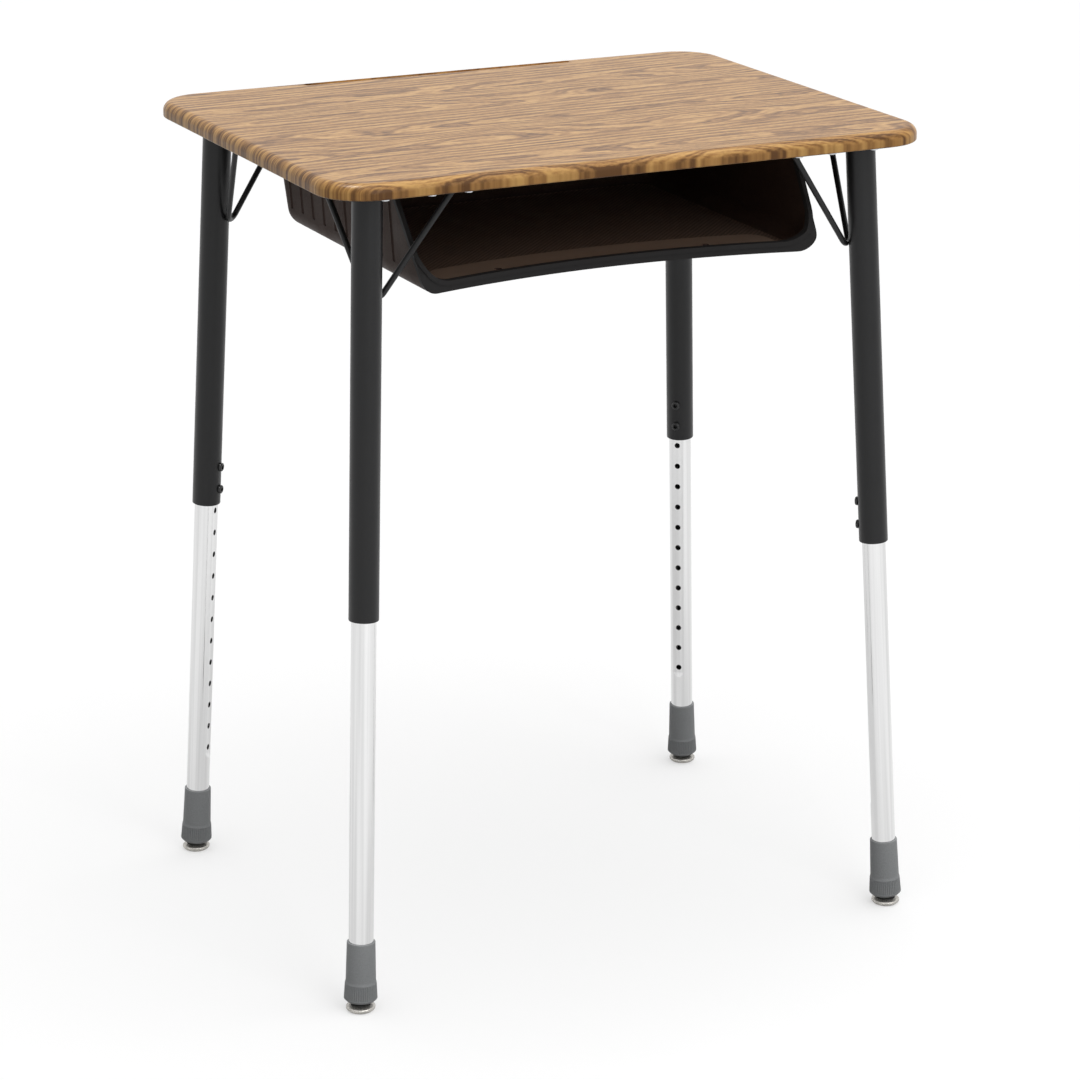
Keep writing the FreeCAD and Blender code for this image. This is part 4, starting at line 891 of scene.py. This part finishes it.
class DESK_OT_wood_screws(bpy.types.Operator):
    """Turn the pan-head screws under the top, with a cross recess in each head"""
    bl_idname = "desk.wood_screws"
    bl_label = "Wood screws"

    def execute(self, context):
        face = np.linspace(0.0, FACE_RADIUS, FACE_ROWS)
        face = np.stack([face, np.full(FACE_ROWS, FACE_HEIGHT)], -1)
        outline = MILLIMETRE * np.concatenate([face, soften(PAN_SCREW, SCREW_STEPS)])
        radius, height = outline[:, :1], outline[:, 1:]
        # Cross recess: two crossed slots with sloping sides, sunk into the head's face
        angle = round_angles(PAN_SCREW_POINTS)
        out, over = np.abs(radius * np.cos(angle)), np.abs(radius * np.sin(angle))
        wide, narrow = np.maximum(out, over), np.minimum(out, over)
        recess = fade(narrow, *RECESS_WIDTH) * fade(wide, *RECESS_LENGTH) * (height < RECESS_BELOW)
        screw = turn(radius, height + RECESS_DEPTH * recess, PAN_SCREW_POINTS)
        for group in ("leg_plate", "book_box"):
            grids = []
            for number, (x, y) in enumerate(screw_axes(group + "_screws")):
                cosine, sine = math.cos(SCREW_TWIST * number), math.sin(SCREW_TWIST * number)
                spin = np.array([[cosine, sine, 0], [-sine, cosine, 0], [0, 0, 1]])
                grids.append((screw @ spin + (x, y, PLATE_BOTTOM), False, True))
            build_piece(group + "_pan_screws", grids,
                        steel_zinc_plated, "desk", group + "_screws")
        return {"FINISHED"}


class DESK_OT_hidden_parts(bpy.types.Operator):
    """Dress the leg plates, plugs and glide stems"""
    bl_idname = "desk.hidden_parts"
    bl_label = "Plates, plugs and stems"

    def execute(self, context):
        for corner in CORNERS:
            dress(corner + "_leg_plate", steel_powder_coated)
            dress(corner + "_leg_plug", nylon_moulded)
            dress(corner + "_glide_stem", steel_zinc_plated)
        return {"FINISHED"}


# Studio

def seen_ray(tree):
    """Socket that is 1 for what the camera sees, also in mirrors and through glass, and 0 for light."""
    path = add_node(tree, "ShaderNodeLightPath").node.outputs
    seen = 0.0
    for kind in ("Is Camera Ray", "Is Glossy Ray", "Is Transmission Ray"):
        seen = add_node(tree, "ShaderNodeMath", {0: path[kind], 1: seen}, operation="MAXIMUM")
    return seen


def lay_floor(scene, stage):
    """Level square sheet under the desk. To the camera and in reflections it is white and keeps a share of
    the desk's shadow, a larger one in reflections. As light it throws back what a grey sheet does."""
    line = np.linspace(-FLOOR_HALF, FLOOR_HALF, FLOOR_POINTS)
    x, y = np.meshgrid(line, line)
    grid = np.stack([x, y, np.zeros_like(x)], -1)
    row_steps, column_steps = corner_steps(FLOOR_POINTS, FLOOR_POINTS, False, False)
    quads = row_steps * FLOOR_POINTS + column_steps
    mesh = bpy.data.meshes.new("floor")
    mesh.from_pydata(grid.reshape(-1, 3).tolist(), [], quads.tolist())
    material = bpy.data.materials.new("floor_matt_white")
    material.use_nodes = True
    tree = material.node_tree
    tree.nodes.remove(tree.nodes["Principled BSDF"])
    seen = seen_ray(tree)
    mirrored = add_node(tree, "ShaderNodeLightPath", output="Is Glossy Ray")
    pale = add_node(tree, "ShaderNodeMapRange", {
        "Value": seen, "To Min": stage.floor_grey, "To Max": stage.floor_white})
    matt = add_node(tree, "ShaderNodeBsdfDiffuse", {"Color": pale})
    glow = add_node(tree, "ShaderNodeEmission", {"Strength": 1.0})
    lit = 0.0
    for part, share in ((seen, 1.0 - stage.floor_share), (mirrored, -stage.floor_mirror)):
        lit = add_node(tree, "ShaderNodeMath", {0: part, 1: share, 2: lit}, operation="MULTIPLY_ADD")
    mixed = add_node(tree, "ShaderNodeMixShader", {0: lit, 1: matt, 2: glow})
    connect(tree, tree.nodes["Material Output"], {"Surface": mixed})
    mesh.materials.append(material)
    floor = bpy.data.objects.new("floor", mesh)
    scene.collection.objects.link(floor)


def light_dome(scene, stage):
    """White all round: full white to the camera and in reflections, the dome's level as light."""
    world = bpy.data.worlds.new("dome")
    world.use_nodes = True
    tree = world.node_tree
    level = add_node(tree, "ShaderNodeMapRange", {
        "Value": seen_ray(tree), "To Min": stage.dome, "To Max": 1.0})
    connect(tree, tree.nodes["Background"], {"Color": (1.0, 1.0, 1.0, 1.0), "Strength": level})
    scene.world = world


def hang_lamp(scene, stage, name, kind, place, power):
    """Lamp at a place, turned to face the desk."""
    lamp = bpy.data.lights.new(name, kind)
    lamp.energy = power
    hung = bpy.data.objects.new(name, lamp)
    hung.location = place
    back = Vector(place) - Vector(stage.lamp_target)
    hung.rotation_euler = back.to_track_quat("Z", "Y").to_euler()
    scene.collection.objects.link(hung)
    return hung


def set_camera(scene, stage):
    """Camera at its place, turned to its target."""
    lens = bpy.data.cameras.new("camera")
    lens.lens = stage.lens
    lens.sensor_width = stage.sensor
    camera = bpy.data.objects.new("camera", lens)
    camera.location = stage.camera_place
    look = Vector(stage.camera_target) - Vector(stage.camera_place)
    camera.rotation_euler = look.to_track_quat("-Z", "Y").to_euler()
    scene.collection.objects.link(camera)
    scene.camera = camera


class DESK_OT_stage(bpy.types.Operator):
    """Lay the white floor, hang the lamps and set the camera"""
    bl_idname = "desk.stage"
    bl_label = "Studio"

    def execute(self, context):
        scene = context.scene
        stage = scene.desk_stage
        scene.view_settings.view_transform = "Standard"
        lay_floor(scene, stage)
        light_dome(scene, stage)
        sky = hang_lamp(scene, stage, "sky_lamp", "SUN", stage.sky_from, stage.sky)
        sky.data.angle = stage.sky_spread
        front = hang_lamp(scene, stage, "front_lamp", "AREA", stage.front_from, stage.front)
        front.data.size = stage.front_size
        glint = hang_lamp(scene, stage, "glint_lamp", "AREA", stage.glint_from, stage.glint)
        glint.data.size = stage.glint_size
        glint.visible_diffuse = False
        set_camera(scene, stage)
        return {"FINISHED"}


class DESK_PT_panel(bpy.types.Panel):
    """Steps and settings of the desk"""
    bl_idname = "DESK_PT_panel"
    bl_label = "Student desk"
    bl_space_type = "VIEW_3D"
    bl_region_type = "UI"
    bl_category = "Desk"

    def draw(self, context):
        layout = self.layout
        for step in STEPS:
            layout.operator(step.bl_idname)
        for group in (context.scene.desk_sizes, context.scene.desk_colours, context.scene.desk_stage):
            box = layout.box()
            for name in group.__annotations__:
                box.prop(group, name)


STEPS = (
    DESK_OT_top,
    DESK_OT_book_box,
    DESK_OT_upper_legs,
    DESK_OT_braces,
    DESK_OT_lower_legs,
    DESK_OT_boots,
    DESK_OT_glides,
    DESK_OT_height_screws,
    DESK_OT_wood_screws,
    DESK_OT_hidden_parts,
    DESK_OT_stage,
)
CLASSES = (DeskSizes, DeskColours, DeskStage, *STEPS, DESK_PT_panel)


def register():
    """Register the classes and hang the settings on the scene."""
    for made in CLASSES:
        bpy.utils.register_class(made)
    bpy.types.Scene.desk_sizes = PointerProperty(type=DeskSizes)
    bpy.types.Scene.desk_colours = PointerProperty(type=DeskColours)
    bpy.types.Scene.desk_stage = PointerProperty(type=DeskStage)


def unregister():
    """Take the settings off the scene and unregister the classes."""
    del bpy.types.Scene.desk_stage
    del bpy.types.Scene.desk_colours
    del bpy.types.Scene.desk_sizes
    for made in reversed(CLASSES):
        bpy.utils.unregister_class(made)


def main():
    """Dress the desk step by step."""
    kept = set(frame["nodes"].values()) | set(frame["bodies"].values())
    for leftover in set(bpy.context.scene.objects) - kept:
        bpy.data.objects.remove(leftover)
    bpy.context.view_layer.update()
    register()
    bpy.ops.desk.top()
    bpy.ops.desk.book_box()
    bpy.ops.desk.upper_legs()
    bpy.ops.desk.braces()
    bpy.ops.desk.lower_legs()
    bpy.ops.desk.boots()
    bpy.ops.desk.glides()
    bpy.ops.desk.height_screws()
    bpy.ops.desk.wood_screws()
    bpy.ops.desk.hidden_parts()
    bpy.ops.desk.stage()


if __name__ == "__main__":
    main()
